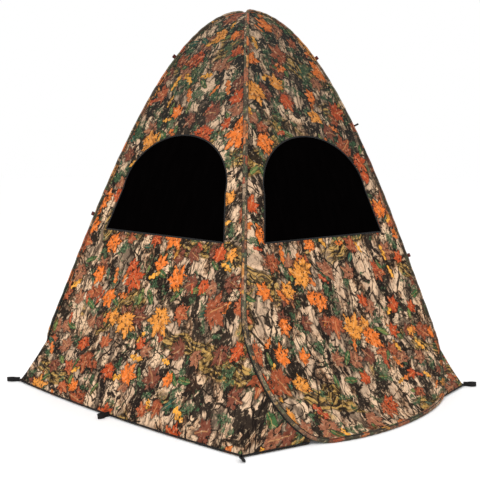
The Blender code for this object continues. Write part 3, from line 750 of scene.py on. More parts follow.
def sheet_from(name, grids, cloth=CLOTH, materials=("camo_fabric", "lining")):
    """A thin double-faced sheet through fine grids of (points, u, v): print outside, lining inside."""
    bm = bmesh.new()
    uv = bm.loops.layers.uv.new("fabric")
    known, places = {}, {}
    for points, u, v in grids:
        rows, columns = points.shape[:2]
        made = [[None] * columns for _ in range(rows)]
        for i, j in np.ndindex(rows, columns):
            key = tuple(np.round(points[i, j], 5))
            if key not in known:
                known[key] = bm.verts.new(points[i, j])
            made[i][j] = known[key]
        for i in range(rows - 1):
            for j in range(columns - 1):
                ring = [(i, j), (i + 1, j), (i + 1, j + 1), (i, j + 1)]
                corners = {}
                for a, b in ring:
                    corners.setdefault(made[a][b], (u[a, b], v[a, b]))
                if len(corners) < 3:
                    continue
                try:
                    face = bm.faces.new(list(corners))
                except ValueError:
                    continue
                places[face] = list(corners.values())
    for face, values in places.items():
        for loop, value in zip(face.loops, values):
            loop[uv].uv = value
    bm.normal_update()
    centre = Vector((0, 0, 0.6))
    outwards = sum(f.normal.dot(f.calc_center_median() - centre) * f.calc_area() for f in bm.faces)
    if outwards < 0:
        bmesh.ops.reverse_faces(bm, faces=bm.faces)
    mesh = bpy.data.meshes.new(name)
    bm.to_mesh(mesh)
    bm.free()
    obj = bpy.data.objects.new(name, mesh)
    for key in materials:
        mesh.materials.append(MATERIALS[key])
    solid = obj.modifiers.new("thickness", "SOLIDIFY")
    solid.thickness = cloth
    solid.offset = -1
    solid.use_even_offset = False
    solid.material_offset = 1
    return obj


def evaluated_mesh(obj):
    """The mesh of an object outside the scene, with its modifiers applied."""
    bpy.context.scene.collection.objects.link(obj)
    bpy.context.view_layer.update()
    made = bpy.data.meshes.new_from_object(obj.evaluated_get(bpy.context.evaluated_depsgraph_get()))
    bpy.context.scene.collection.objects.unlink(obj)
    return made


def applied(obj):
    """The object with its modifiers made part of its mesh."""
    made = evaluated_mesh(obj)
    obj.modifiers.clear()
    obj.data = made
    return obj


def opening_path(shape, grow=0.0):
    sill_half, shoulder_half, sill, shoulder, top = shape
    path = [(sill_half + grow, sill - grow)]
    for k in range(ARCH_POINTS + 1):
        turn = math.pi * k / ARCH_POINTS
        x = (shoulder_half + grow) * math.cos(turn)
        path.append((x, shoulder + (top + grow - shoulder) * math.sin(turn)))
    path.append((-sill_half - grow, sill - grow))
    return path


def prism(outline, face):
    """A bar of this outline through one face."""
    bm = bmesh.new()
    base = bm.faces.new([bm.verts.new((x, BAR_REACH[0], z)) for x, z in outline])
    made = bmesh.ops.extrude_face_region(bm, geom=[base])["geom"]
    moved = [v for v in made if isinstance(v, bmesh.types.BMVert)]
    bmesh.ops.translate(bm, verts=moved, vec=(0, BAR_REACH[1] - BAR_REACH[0], 0))
    obj = mesh_object("cutter", bm)
    obj.rotation_euler.z = math.radians(FACES[face])
    bpy.context.scene.collection.objects.link(obj)
    return obj


def cut(obj, outline, face, operation="DIFFERENCE"):
    """The object cut by a bar of this outline through one face, its modifiers applied."""
    cutter = prism(outline, face)
    boolean = obj.modifiers.new("cut", "BOOLEAN")
    boolean.operation = operation
    boolean.object = cutter
    boolean.solver = "EXACT"
    applied(obj)
    bpy.data.objects.remove(cutter)
    return obj


def wall_sheets():
    """Fine grids of all four walls, with their ripples: name to a list of (points, u, v)."""
    front = fine(front_grid())
    face, gussets = side_grids()
    side = fine(face)
    sheets = {}
    taut = {"front": front, "back": front, "left": side, "right": side}
    for number, (name, points) in enumerate(taut.items()):
        across, down = metric(points)
        edge = np.minimum(across - across[:, :1], across[:, -1:] - across)
        hem = down[-1:] - down
        out = ripples(points, across, down, edge, hem, DOOR if name == "back" else WINDOW, number + 1)
        direction = -1 if name in SIDES else 1
        moved = points - direction * normals_of(points) * out[:, :, None]
        u = across * direction + number * WALL_PRINT_STEP
        v = -down
        grids = [(moved, u, v)]
        if name in SIDES:
            for end, (first, rows) in gussets.items():
                column = 0 if end == "front" else -1
                lines = smooth_run(np.array(rows, float), FINE_ROWS)
                lines = smooth_run(lines.transpose(1, 0, 2), 4).transpose(1, 0, 2)
                start = first * FINE_ROWS
                lines[:, 0] = moved[start:, column]
                sign = 1 if end == "front" else -1
                gusset_u = u[start:, column, None] + sign * lengths_along(lines)
                gusset_v = np.repeat(v[start:, column, None], lines.shape[1], axis=1)
                order = slice(None, None, -sign)
                grids.append((lines[:, order], gusset_u[:, order], gusset_v[:, order]))
        if name in ("back", "right"):
            grids = [(p * np.array((-1.0, -1.0, 1.0)), a, b) for p, a, b in grids]
        sheets[name] = grids
    return sheets


SHEETS = wall_sheets()


def outer_surface(face):
    """A tree for finding points on a wall's outside before it is cut."""
    points = SHEETS[face][0][0]
    rows, columns = points.shape[:2]
    verts = [Vector(p) for p in points.reshape(-1, 3)]
    quads = []
    for i in range(rows - 1):
        for j in range(columns - 1):
            k = i * columns + j
            quads.append((k, k + columns, k + columns + 1, k + 1))
    return BVHTree.FromPolygons(verts, quads)


SURFACES = {face: outer_surface(face) for face in FACES}


def turn_of(face):
    return Matrix.Rotation(math.radians(FACES[face]), 4, "Z")


def on_wall(face, x, z, depth=0.0):
    """The point at x across a wall and height z, a given depth inside it, and the outward normal there."""
    turn = turn_of(face)
    start, way = turn @ Vector((x, BAR_REACH[0], z)), turn @ Vector((0, 1, 0))
    point, normal, _, _ = SURFACES[face].ray_cast(start, way)
    if point is None:
        point, normal = turn @ Vector((x, -wall_y(z), z)), -way
    if normal.dot(way) > 0:
        normal = -normal
    return point - normal * depth, normal


def share_on(face, point):
    """Share of the way from the front hoop to the back one of the nearest point of a side wall."""
    points = SHEETS[face][0][0]
    spans = points.shape[1] - 1
    _, _, index, _ = SURFACES[face].find_nearest(point)
    i, j = divmod(index, spans)
    a, b = Vector(points[i, j]), Vector(points[i, j + 1])
    t = (point - a).dot(b - a) / max((b - a).length_squared, 1e-12)
    share = (j + min(1.0, max(0.0, t))) / spans
    return 1.0 - share if face == "right" else share


def fan(obj, face):
    """A side wall's piece: its transform is baked into its mesh, and the share of the way from the front
    hoop to the back one is worked out for each point.
    """
    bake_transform(obj)
    values = np.array([share_on(face, v.co) for v in obj.data.vertices], np.float32)


def hold(obj, face):
    """A piece on the front or back wall rides on that wall's hoop; on a side wall, fan bakes its transform.
    """
    if face in SIDES:
        fan(obj, face)
    else:
        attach(obj, HOOP_BODY[face])


def layer(face, depth, low, high):
    """The stretch of a wall's fine grid between two heights, a given depth inside the wall."""
    points, u, v = SHEETS[face][0]
    outwards = normals_of(points) * (-1 if face in SIDES else 1)
    heights = points[:, :, 2]
    rows = np.where((heights.max(axis=1) > low) & (heights.min(axis=1) < high))[0]
    kept = slice(max(rows[0] - 1, 0), rows[-1] + 2)
    return [((points - outwards * depth)[kept], u[kept], v[kept])]


def add_walls():
    for face in FACES:
        wall = sheet_from(f"{face}_wall_cloth", SHEETS[face])
        shape = opening_path(WINDOW) if face in WINDOW_FACES else opening_path(DOOR, DOOR_GAP / 2)
        wall = smooth(cut(wall, shape, face))
        link(wall, "camo_fabric", replaces=(f"{face}_wall",), wall=face)


def colour_cad():
    """Gives every CAD node that is still shown a finished material."""
    slots = {row["node"]: row["material_slot"] for row in frame["record"]["subparts"]}
    for name, obj in frame["nodes"].items():
        key = slots.get(name, "webbing")
        for slot in obj.material_slots:
            slot.link = "OBJECT"
            slot.material = MATERIALS[key]


# Hoops' sleeves.


def swept(name, path, section, cyclic=False, facing=None, u_offset=0.0):
    """A solid swept along a path. section(k) gives (x, y) points, x along facing or out of the blind."""
    bm = bmesh.new()
    uv = bm.loops.layers.uv.new("fabric")
    count = len(path)
    ways = tangents(path) if cyclic else [
        (path[min(k + 1, count - 1)] - path[max(k - 1, 0)]).normalized() for k in range(count)
    ]
    middle = Vector((0, 0, 0.75))
    rings, lengths, total = [], [], 0.0
    for k, (point, along) in enumerate(zip(path, ways)):
        out = square_to(facing[k] if facing else point - middle, along)
        side = along.cross(out)
        ring = [point + out * x + side * y for x, y in section(k)]
        rings.append([bm.verts.new((p.x, p.y, max(p.z, FLOOR_GAP))) for p in ring])
        lengths.append(total)
        total += (path[(k + 1) % count] - point).length
    sides = len(rings[0])
    girth = [0.0]
    for j in range(sides):
        girth.append(girth[-1] + (rings[0][(j + 1) % sides].co - rings[0][j].co).length)
    spans = count if cyclic else count - 1
    for k in range(spans):
        a, b = rings[k], rings[(k + 1) % count]
        low, high = lengths[k], (lengths[k + 1] if k + 1 < count else total)
        for j in range(sides):
            n = (j + 1) % sides
            face = bm.faces.new((a[j], a[n], b[n], b[j]))
            values = ((girth[j], low), (girth[j + 1], low), (girth[j + 1], high), (girth[j], high))
            for loop, (x, y) in zip(face.loops, values):
                loop[uv].uv = (x + u_offset, y)
    if not cyclic:
        bm.faces.new(rings[0][::-1])
        bm.faces.new(rings[-1])
    return smooth(mesh_object(name, bm), 60)


def sleeve_path():
    return [Vector(p) for p in smooth_run(hoop_path(), SLEEVE_STEPS, cyclic=True)]


def add_sleeves():
    """The printed sleeves round the hoops, a little gathered along their length."""
    path = sleeve_path()

    def section(k):
        gather = 0.0009 * noise.noise(Vector((k * 0.31, 4.2, 0.0))) + 0.0006 * math.sin(k * 1.7)
        radius = SLEEVE_R + 0.0004 + gather
        ring = []
        for j in range(SLEEVE_SIDES):
            a = 2 * math.pi * j / SLEEVE_SIDES
            fold = 0.0005 * noise.noise(Vector((k * 0.45, math.cos(a) * 1.5, math.sin(a) * 1.5)))
            ring.append(((radius + fold) * math.cos(a), (radius * 1.02 + fold) * math.sin(a)))
        return ring

    for number, (end, body) in enumerate(HOOP_BODY.items()):
        run = path if end == "front" else [half_turn(p) for p in path]
        start = SLEEVE_PRINT_START + number
        sleeve = swept(f"{end}_sleeve_cloth", run, section, cyclic=True, u_offset=start)
        link(sleeve, "sleeve_fabric", body, (f"{end}_hoop_sleeve",))


def add_sleeve_piping_and_shade():
    """A dark stitched ridge where each wall is sewn to its sleeve: partly piping, partly painted shade in
    the seam, and thicker beside the gussets as a painted shadow gap.
    """
    path = sleeve_path()
    inside = Vector((0, 0, 0.55))
    ways = tangents(path)
    for end, body in HOOP_BODY.items():
        for side, sign in (("inner", 1), ("outer", -1)):
            run = []
            for point, along in zip(path, ways):
                out = square_to(point - inside, along)
                away = along.cross(out) * sign
                if side == "outer":
                    gusset = fold_point(point) - point
                    gusset -= gusset.dot(along) * along
                    share = min(1.0, gusset.length / 0.04)
                    share *= float(np.interp(point.z, (0.012, 0.04), (0, 1)))
                    away = (away * (1 - share) + gusset.normalized() * share).normalized()
                run.append(point + away * (SLEEVE_R + 0.0005) + out * 0.001)
            if end == "back":
                run = [half_turn(p) for p in run]

            def section(k, run=run, low=GUSSET_SHADE_CORD_R if side == "outer" else PIPING_R):
                radii = (PIPING_R, low, low, PIPING_R)
                return round_section(float(np.interp(run[k].z, (0.012, 0.04, 0.4, 0.55), radii)), 6)

            piece = swept(f"{end}_sleeve_piping_shade_{side}", run, section, cyclic=True)
            link(piece, "webbing", body)


# Small shapes.


def mesh_object(name, bm):
    bmesh.ops.recalc_face_normals(bm, faces=bm.faces)
    mesh = bpy.data.meshes.new(name)
    bm.to_mesh(mesh)
    bm.free()
    return bpy.data.objects.new(name, mesh)


def flat_section(width, thickness):
    """Section of a tape: thickness along its facing, width across, with its selvages rounded."""
    a, b = thickness / 2, width / 2
    soft = a * 0.9
    return [(a, -b + soft), (a, b - soft), (0, b), (-a, b - soft), (-a, -b + soft), (0, -b)]


def round_section(radius, sides):
    turns = np.linspace(0, 2 * math.pi, sides + 1)[:-1]
    return [(radius * math.cos(a), radius * math.sin(a)) for a in turns]


def spaced(path, step):
    """Points along a flat path about a step apart, without its last one."""
    flat = []
    for (x0, z0), (x1, z1) in zip(path, path[1:]):
        count = max(1, round(math.hypot(x1 - x0, z1 - z0) / step))
        flat += [(x0 + (x1 - x0) * k / count, z0 + (z1 - z0) * k / count) for k in range(count)]
    return flat


def along_outline(face, shape, grow, depth, step=0.012, closed=True):
    """Points and normals on a wall along an opening's outline, about a step apart."""
    path = opening_path(shape, grow)
    if closed:
        path = path + path[:1]
    flat = spaced(path, step)
    if not closed:
        flat.append(path[-1])
    found = [on_wall(face, x, z, depth) for x, z in flat]
    return [p for p, _ in found], [n for _, n in found]


def skin(bm, rings):
    """Faces between each ring of vertices and the next."""
    for low, high in zip(rings, rings[1:]):
        for j in range(len(low)):
            n = (j + 1) % len(low)
            bm.faces.new((low[j], low[n], high[n], high[j]))


def stitches(name, points, normals):
    """A row of separate stitches along a line on cloth."""
    pitch, length, radius = STITCH
    bm = bmesh.new()
    carried = 0.0
    for (a, b), normal in zip(zip(points, points[1:]), normals):
        span = (b - a).length
        along = (b - a).normalized()
        side = along.cross(normal).normalized()
        at = (pitch - carried) % pitch
        while at < span:
            start = a + along * at
            rings = []
            for reach, rise in ((0.0, 0.0), (length / 2, radius * 1.4), (length, 0.0)):
                centre = start + along * reach + normal * rise
                corners = ((side, 1), (normal, 1), (side, -1), (normal, -1))
                rings.append([bm.verts.new(centre + way * sign * radius) for way, sign in corners])
            skin(bm, rings)
            bm.faces.new(rings[0][::-1])
            bm.faces.new(rings[-1])
            at += pitch
        carried = (carried + span) % pitch
    return mesh_object(name, bm)


def band_loop(name, place, route, width, thickness, lean=None):
    """Webbing along a closed route in its frame's x-y plane, its width along the frame's z.

    lean(x) gives how far a point's width turns about x, in radians."""
    bm = bmesh.new()
    points = [Vector((x, y, 0)) for x, y in route]
    rings = []
    for point, along in zip(points, tangents(points)):
        normal = Vector((0, 0, 1)).cross(along).normalized()
        ring = []
        for out, up in flat_section(width, thickness):
            corner = normal * out + Vector((0, 0, up))
            if lean:
                corner = Matrix.Rotation(lean(point.x), 3, "X") @ corner
            ring.append(bm.verts.new(place @ (point + corner)))
        rings.append(ring)
    skin(bm, rings + rings[:1])
    return smooth(mesh_object(name, bm))


def plates(name, parts):
    """Flat plates with rounded edges as one object. Each part is (outlines, thickness, bevel, matrix)."""
    bm = bmesh.new()
    for outlines, thickness, bevel, matrix in parts:
        curve = bpy.data.curves.new("outline", "CURVE")
        curve.dimensions = "2D"
        curve.fill_mode = "BOTH"
        curve.extrude = thickness / 2 - bevel
        curve.bevel_depth = bevel
        curve.bevel_resolution = 2
        curve.offset = -bevel
        for outline in outlines:
            spline = curve.splines.new("POLY")
            spline.points.add(len(outline) - 1)
            for target, (x, y) in zip(spline.points, outline):
                target.co = (x, y, 0.0, 1.0)
            spline.use_cyclic_u = True
        obj = bpy.data.objects.new("outline", curve)
        made = evaluated_mesh(obj)
        made.transform(matrix)
        bm.from_mesh(made)
        bpy.data.objects.remove(obj)
    bmesh.ops.remove_doubles(bm, verts=bm.verts, dist=1e-6)
    return smooth(mesh_object(name, bm), 40)


def rounded(length, width, steps=8, start=0.0):
    """Outline of a bar along +X with round ends."""
    r = width / 2
    points = []
    for centre, turn in ((start + length - r, -math.pi / 2), (start + r, math.pi / 2)):
        for k in range(steps + 1):
            a = turn + math.pi * k / steps
            points.append((centre + r * math.cos(a), r * math.sin(a)))
    return points


# Windows.


def face_matrix(face, x, z, depth):
    """A frame on a wall: x across, z up the slope, y into the blind."""
    at = Matrix.Translation((x, -wall_y(z), z)) @ Matrix.Rotation(-wall_slope(z), 4, "X")
    return turn_of(face) @ at @ Matrix.Translation((0, depth, 0))


def crumpled(obj, keep, plane):
    """A piece inside a side window, given a mesh of its own."""
    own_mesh(obj)


def add_zip(name, face, shape, outline, depth, node, closed=False):
    """A zip: its tape between two outlines, with the coil along the middle."""
    low, high = min(z for _, z in outline), max(z for _, z in outline)
    tape = sheet_from(f"{name}_tape", layer(face, depth, low, high), TAPE_CLOTH, ("zip_tape", "zip_tape"))
    tape = smooth(cut(tape, outline, face, "INTERSECT"))
    link(tape, "zip_tape", replaces=(node,), wall=face)
    points, normals = along_outline(face, shape, 0.0, COIL_DEPTH, 0.007, closed)
    tooth = [(0.0011, 0.0019), (0.0007, 0.0015)]

    def section(k):
        rise, half = tooth[k % 2]
        flank = rise * 0.6
        return [(rise, 0), (flank, half), (-flank, half), (-rise, 0), (-flank, -half), (flank, -half)]

    coil = smooth(swept(f"{name}_coil", points, section, facing=normals), 30)
    link(coil, "zip_tape", wall=face)


def add_rim(name, face, shape, grow=0.0):
    """The bound edge of an opening: folded tape over the cloth's cut edge, with two rows of stitches."""
    points, normals = along_outline(face, shape, grow + RIM_OUT, 0.0003)
    section = flat_section(*RIM_TAPE)
    rim = smooth(swept(f"{name}_edge_tape", points, lambda k: section, True, normals))
    link(rim, "webbing", wall=face)
    for row, away in STITCH_ROWS:
        points, normals = along_outline(face, shape, grow + away, -0.0002)
        line = stitches(f"{name}_{row}_stitching", points, normals)
        link(line, "camo_fabric", material="thread", wall=face)


def cover_outline():
    """Outline of a hanging cover as (down from its hinge, across), from one top corner to the other."""
    slope = math.cos(wall_slope(WINDOW[2]))
    outline = [((z - WINDOW[2] + COVER_DROP) / slope, x) for x, z in opening_path(WINDOW, -COVER_INSET)]
    outline[0] = (0.0, WINDOW[0] - COVER_INSET)
    outline[-1] = (0.0, COVER_INSET - WINDOW[0])
    return outline


def cover_frame(face):
    """A frame on the cover's hinge: x down, y across, z into the blind."""
    point = face_matrix(face, 0, WINDOW[2] - COVER_DROP, COVER_DEPTH).translation
    plumb = Matrix(((0, 1, 0, 0), (0, 0, 1, 0), (-1, 0, 0, 0), (0, 0, 0, 1)))
    return Matrix.Translation(point) @ turn_of(face) @ plumb


def cover_sag(down, across, seed):
    """How far a hanging cover stands off its plane, into the blind."""
    fold = math.sin(across * 21 + 2.2 * noise.noise(Vector((across * 3, down * 3, seed))))
    dent = noise.noise(Vector((across * 8, down * 6, seed)))
    return 0.0032 + min(1.0, down / 0.12) * (0.0028 * fold + 0.002 * dent)


def add_cover(face, seed):
    outline = cover_outline()
    half = outline[: len(outline) // 2 + 1]
    downs = np.array([d for d, _ in half])
    halves = np.array([a for _, a in half])
    place = cover_frame(face)
    points = np.zeros((COVER_ROWS + 1, COVER_COLUMNS + 1, 3))
    u, v = np.zeros(points.shape[:2]), np.zeros(points.shape[:2])
    for i, j in np.ndindex(u.shape):
        down = downs[-1] * math.sin(math.pi / 2 * i / COVER_ROWS)
        reach = max(float(np.interp(down, downs, halves)), 0.004)
        across = reach * (1 - 2 * j / COVER_COLUMNS)
        points[i, j] = place @ Vector((down, across, cover_sag(down, across, seed)))
        u[i, j], v[i, j] = across, down
    cover = sheet_from(f"{face}_cover_cloth", [(points, u, v)], COVER_CLOTH, ("cover_fabric",) * 2)
    cover = smooth(applied(cover))
    link(cover, "cover_fabric", f"{face}_cover", (f"{face}_window_cover",))
    run = [place @ Vector((d, a, cover_sag(d, a, seed) + 0.0003)) for d, a in spaced(outline, 0.02)]
    ways = [(place.to_3x3() @ Vector((0, 0, 1))).normalized()] * len(run)
    section = flat_section(*COVER_TAPE)
    hem = smooth(swept(f"{face}_cover_hem", run, lambda k: section, False, ways))
    link(hem, "zip_tape", f"{face}_cover")
    return [cover, hem]


def mirrored(half):
    """An outline from its right half."""
    return [(-x, y) for x, y in reversed(half)] + half


def add_slider(name, matrix, side, body, node):
    """A zip slider: two wings, the post between them and the bridge that holds the pull.

    side is 1 where the pull is on the +y face of its frame, and -1 on the other."""
    width, length = SLIDER_SIZE
    shape = ((0.30, -0.5), (0.40, -0.1), (0.5, 0.2), (0.46, 0.5), (0.12, 0.42))
    outline = mirrored([(x * width, y * length) for x, y in shape])
    upright = matrix @ Matrix.Rotation(math.radians(90), 4, "X")
    wing = SLIDER_THICK * 0.26
    parts = []
    for end in (-1, 1):
        lift = Matrix.Translation((0, 0, end * (SLIDER_THICK / 2 - wing / 2)))
        parts.append(([outline], wing, 0.0003, upright @ lift))
    post = rounded(0.006, 0.0035, start=0.001)
    parts.append(([post], SLIDER_THICK * 0.7, 0.0002, upright @ Matrix.Rotation(math.pi / 2, 4, "Z")))
    bridge = mirrored([(0.003, 0.0021), (0.0055, 0.0012), (0.0055, 0.0)])
    hollow = mirrored([(0.0035, 0.0007), (0.0035, 0.0002)])
    edge = matrix @ Matrix.Translation((0, side * SLIDER_THICK / 2, 0))
    axes = Matrix(((0, 0, 1, 0), (0, side, 0, 0), (1, 0, 0, 0), (0, 0, 0, 1)))
    parts.append(([bridge, hollow], 0.0024, 0.0002, edge @ axes))
    return link(plates(name, parts), "zip_metal", body, (node,))


def add_pull(name, matrix, body, node):
    """A pull tab with an eye and a grip hole, hanging along -z of its frame."""
    width, length = PULL_SIZE
    hang = Matrix(((0, -1, 0, 0), (0, 0, 1, 0), (-1, 0, 0, 0), (0, 0, 0, 1)))
    eye = rounded(0.0034, 0.0024, start=0.0014)
    grip = rounded(0.012, 0.0022, start=0.0125)
    parts = [([rounded(length, width), eye, grip], 0.0013, 0.0003, matrix @ hang)]
    for number in range(3):
        ridge = rounded(0.0042, 0.0007, 4, start=-0.0021)
        place = Matrix.Translation((0.0075 + 0.0016 * number, 0, 0)) @ Matrix.Rotation(math.pi / 2, 4, "Z")
        parts.append(([ridge], 0.0018, 0.0001, matrix @ hang @ place))
    return link(plates(name, parts), "zip_metal", body, (node,))


def add_window(face, seed):
    low, high = WINDOW[2] - MESH_GROW, WINDOW[4] + MESH_GROW
    grids = layer(face, MESH_DEPTH, low, high)
    mesh = sheet_from(f"{face}_mesh_cloth", grids, MESH_CLOTH, ("black_mesh", "black_mesh"))
    mesh = smooth(cut(mesh, opening_path(WINDOW, MESH_GROW), face, "INTERSECT"))
    link(mesh, "black_mesh", replaces=(f"{face}_window_mesh",), wall=face)
    band = opening_path(WINDOW, TAPE_GROW) + opening_path(WINDOW, -TAPE_GROW)[::-1]
    add_zip(f"{face}_window", face, WINDOW, band, TAPE_DEPTH, f"{face}_window_zip")
    add_rim(f"{face}_window", face, WINDOW)
    inside = add_cover(face, seed)
    z = WINDOW_SLIDER_Z
    lean = math.atan2(WINDOW[0] - WINDOW[1], (WINDOW[3] - WINDOW[2]) / math.cos(wall_slope(z)))
    depth = SLIDER_DEPTH + SLIDER_THICK / 2
    x = side_x(WINDOW, z)
    on_tape = face_matrix(face, x, z, depth) @ Matrix.Rotation(-lean, 4, "Y")
    hinge = face_matrix(face, x, z, SLIDER_DEPTH + SLIDER_THICK + PULL_GAP).translation
    hinge_frame = Matrix.Translation(hinge) @ turn_of(face)
    slider = add_slider(f"{face}_slider_metal", on_tape, 1, f"{face}_slider", f"{face}_zip_slider")
    pull = add_pull(f"{face}_pull_metal", hinge_frame, f"{face}_pull", f"{face}_zip_pull")
    if face in SIDES:
        for piece in inside:
            crumpled(piece, *COVER_FOLD)
        for piece in (slider, pull):
            crumpled(piece, *SLIDER_FOLD[face])


# Door.


def door_free_path(grow):
    """Outline of the door from its free side over the arch, and the free side of its sill."""
    return [*opening_path(DOOR, grow)[1:], (DOOR[0] - 0.01, DOOR[2] - grow)]


def add_door():
    low, high = DOOR[2] - 0.02, DOOR[4] + 0.02
    flap = sheet_from("door_flap_cloth", layer("back", 0.0, low, high))
    flap = smooth(cut(flap, opening_path(DOOR, -DOOR_GAP / 4), "back", "INTERSECT"))
    link(flap, "camo_fabric", replaces=("door_flap",))
    hinge, _ = on_wall("back", DOOR[0], DOOR[2])
    hinge + Vector((FLAP_BEND, 0, 0))
    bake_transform(flap)
    band = door_free_path(TAPE_GROW + DOOR_GAP) + door_free_path(-TAPE_GROW)[::-1]
    add_zip("door", "back", DOOR, band, TAPE_DEPTH, "door_zip", True)
    add_rim("door", "back", DOOR, DOOR_GAP)
    for name, (z, rise, gap) in DOOR_SLIDERS.items():
        depth = -DOOR_SLIDER_GAP - SLIDER_THICK / 2
        flip = 1 if name == "upper" else -1
        upside = Matrix.Diagonal((flip, 1, flip, 1))
        place = face_matrix("back", DOOR_SLIDER_X, z, depth) @ upside
        add_slider(f"door_{name}_slider_metal", place, -1, f"door_{name}_slider", f"door_{name}_slider")
        hinge_frame = face_matrix("back", DOOR_SLIDER_X, z + rise, -DOOR_SLIDER_GAP - SLIDER_THICK - gap)
        add_pull(f"door_{name}_pull_metal", hinge_frame, f"door_{name}_pull", f"door_{name}_pull")


# Hems and loops.


def add_hems():
    """Folded black tape over the bottom edge of each side wall and of its two gussets."""
    section = flat_section(*HEM_TAPE)
    for side in SIDES:
        near, far = ("front", "back") if side == "left" else ("back", "front")
        rows = [grid[0][-1] for grid in SHEETS[side]]
        for number, row in enumerate(rows):
            run = [Vector((x, y, 0.0068)) for x, y, _ in row]
            name = (f"{side}_hem", f"{side}_{near}_gusset", f"{side}_{far}_gusset")[number]
            hem = smooth(swept(f"{name}_hem" if number else name, run, lambda k: section))
            link(hem, "webbing", replaces=(f"{name}_binding",))
            if number == 0:
                fan(hem, side)
            else:
                at_front = run[0].y + run[-1].y < 0
                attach(hem, "root" if at_front else "back_frame")


def seam_frame(seam, z):
    """A frame on the outside of a sleeve at height z: x out, z up along the seam."""
    point, step = on_seam(-1, fold_radius(z), z), 0.02
    above, below = (on_seam(-1, fold_radius(h), h) for h in (z + step, z - step))
    up = (above - below).normalized()
    out = square_to(Vector((-1, -1, 0)).normalized(), up)
    frame_at = placed(out, up.cross(out), up, point + out * (SLEEVE_R + 0.0003))
    return Matrix.Rotation(math.radians(SEAM_ANGLE[seam]), 4, "Z") @ frame_at


def add_seam_loop(name, seam, z, slot, size):
    reach, across, height = size
    route = rounded(reach - PLY + 0.0008, across - PLY, 6, start=-0.0008)
    loop = band_loop(f"{name}_webbing", seam_frame(seam, z), route, height, PLY)
    link(loop, slot, "back_frame" if seam in ("back", "left") else "root", (name,))


def stake_points():
    points = {}
    corner = wall_y(HEM_Z)
    for side, sign in (("left", -1), ("right", 1)):
        for end, other in (("front", -1), ("back", 1)):
            points[f"{end}_{side}"] = Vector((sign * corner, other * corner, 0)), Vector((sign, other, 0))
        row = SHEETS[side][0][0][-1]
        middle = Vector(row[len(row) // 2])
        points[f"{side}_middle"] = Vector((middle.x, middle.y, 0)), Vector((sign, 0, 0))
    return points


def add_stake_loop(name, start, direction, twist):
    out = direction.normalized()
    length, width = STAKE_LOOP_SIZE
    nose = length - PLY
    upper = [(x, PLY / 2) for x in np.linspace(-0.004, STAKE_LOOP_TAIL, 5)]
    for t in np.linspace(0, 1, 13)[1:-1]:
        rise = STAKE_LOOP_EYE / 2 * math.sin(math.pi * t)
        upper.append((STAKE_LOOP_TAIL + (nose - STAKE_LOOP_TAIL) * t, PLY / 2 + rise))
    route = upper + [(length - PLY / 2, 0.0)] + [(x, -y) for x, y in reversed(upper)]
    up = Vector((0, 0, 1))
    middle = Vector((start.x, start.y, width / 2 + 0.0006)) + out * STAKE_LOOP_START
    place = placed(out, up.cross(out), up, middle)

    def lean(x):
        return twist * max(0.0, x) / length

    loop = band_loop(f"{name}_stake_webbing", place, route, width - 0.001, PLY, lean)
    link(loop, "webbing", replaces=(f"{name}_stake_loop",))
    if "middle" in name:
        fan(loop, name.split("_")[0])
    else:
        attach(loop, HOOP_BODY[name.split("_")[0]])


def add_loops():
    for seam, heights in BRUSH_LOOPS.items():
        for number, z in enumerate(heights, 1):
            add_seam_loop(f"{seam}_seam_brush_loop_{number}", seam, z, "brown_webbing", BRUSH_LOOP_SIZE)
    add_seam_loop("right_seam_guy_loop", "right", GUY_LOOP_Z, "webbing", GUY_LOOP_SIZE)
    for number, (name, (start, direction)) in enumerate(stake_points().items()):
        add_stake_loop(name, start, direction, 0.9 if name == "front_left" else 0.25 * (-1) ** number)


# Stage.


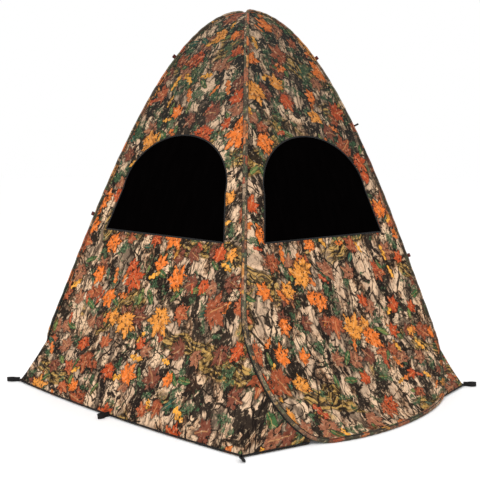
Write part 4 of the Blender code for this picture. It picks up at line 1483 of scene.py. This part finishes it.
def add_floor():
    bpy.ops.mesh.primitive_plane_add(size=40, location=(0, 0, -0.0005))
    floor = bpy.context.object
    floor.name = "floor"
    made, _, shader = new_material("floor", 0.9)
    shader.inputs["Base Color"].default_value = (0.94, 0.94, 0.94, 1.0)
    shader.inputs["Emission Color"].default_value = (1.0, 1.0, 1.0, 1.0)
    shader.inputs["Emission Strength"].default_value = 0.06
    floor.data.materials.append(made)


def add_light(name, place, aim, size, power):
    data = bpy.data.lights.new(name, "AREA")
    data.shape = "SQUARE"
    data.size = size
    data.energy = power
    lamp = bpy.data.objects.new(name, data)
    lamp.location = place
    lamp.rotation_mode = "QUATERNION"
    lamp.rotation_quaternion = (Vector(aim) - Vector(place)).to_track_quat("-Z", "Y")
    bpy.context.scene.collection.objects.link(lamp)


def add_world():
    world = bpy.data.worlds.new("studio")
    world.use_nodes = True
    background = world.node_tree.nodes["Background"]
    background.inputs[0].default_value = (1.0, 1.0, 1.0, 1.0)
    background.inputs[1].default_value = 1.0
    bpy.context.scene.world = world
    bpy.context.scene.view_settings.view_transform = "Standard"


def add_camera():
    azimuth, distance, height = math.radians(-45.27), 4.307, 1.127
    yaw, pitch, roll = math.radians(0.205), math.radians(6.036), math.radians(0.634)
    facing = azimuth + yaw
    right = Vector((math.cos(facing), math.sin(facing), 0))
    level = Vector((-math.sin(facing), math.cos(facing), 0))
    ahead = level * math.cos(pitch) - Vector((0, 0, math.sin(pitch)))
    up = right.cross(ahead)
    x = right * math.cos(roll) + up * math.sin(roll)
    y = up * math.cos(roll) - right * math.sin(roll)
    data = bpy.data.cameras.new("camera")
    data.sensor_width = 36.0
    data.lens = 71.15
    camera = bpy.data.objects.new("camera", data)
    stand = Vector((math.sin(azimuth) * distance, -math.cos(azimuth) * distance, height))
    camera.matrix_world = placed(x, y, -ahead, stand)
    bpy.context.scene.collection.objects.link(camera)
    bpy.context.scene.camera = camera


add_camera()
add_world()
add_floor()
add_light("key", (-4.0, -2.0, 4.5), (0, 0, 0.7), 3.0, 122)
add_light("fill", (1.5, -5.0, 3.2), (0, 0, 0.7), 3.5, 11)
add_light("rim", (3.0, 4.0, 4.0), (0, 0, 0.9), 3.0, 30)
colour_cad()
add_walls()
add_sleeves()
add_sleeve_piping_and_shade()
for order, window_face in enumerate(WINDOW_FACES):
    add_window(window_face, order + 1.0)
add_door()
add_hems()
add_loops()
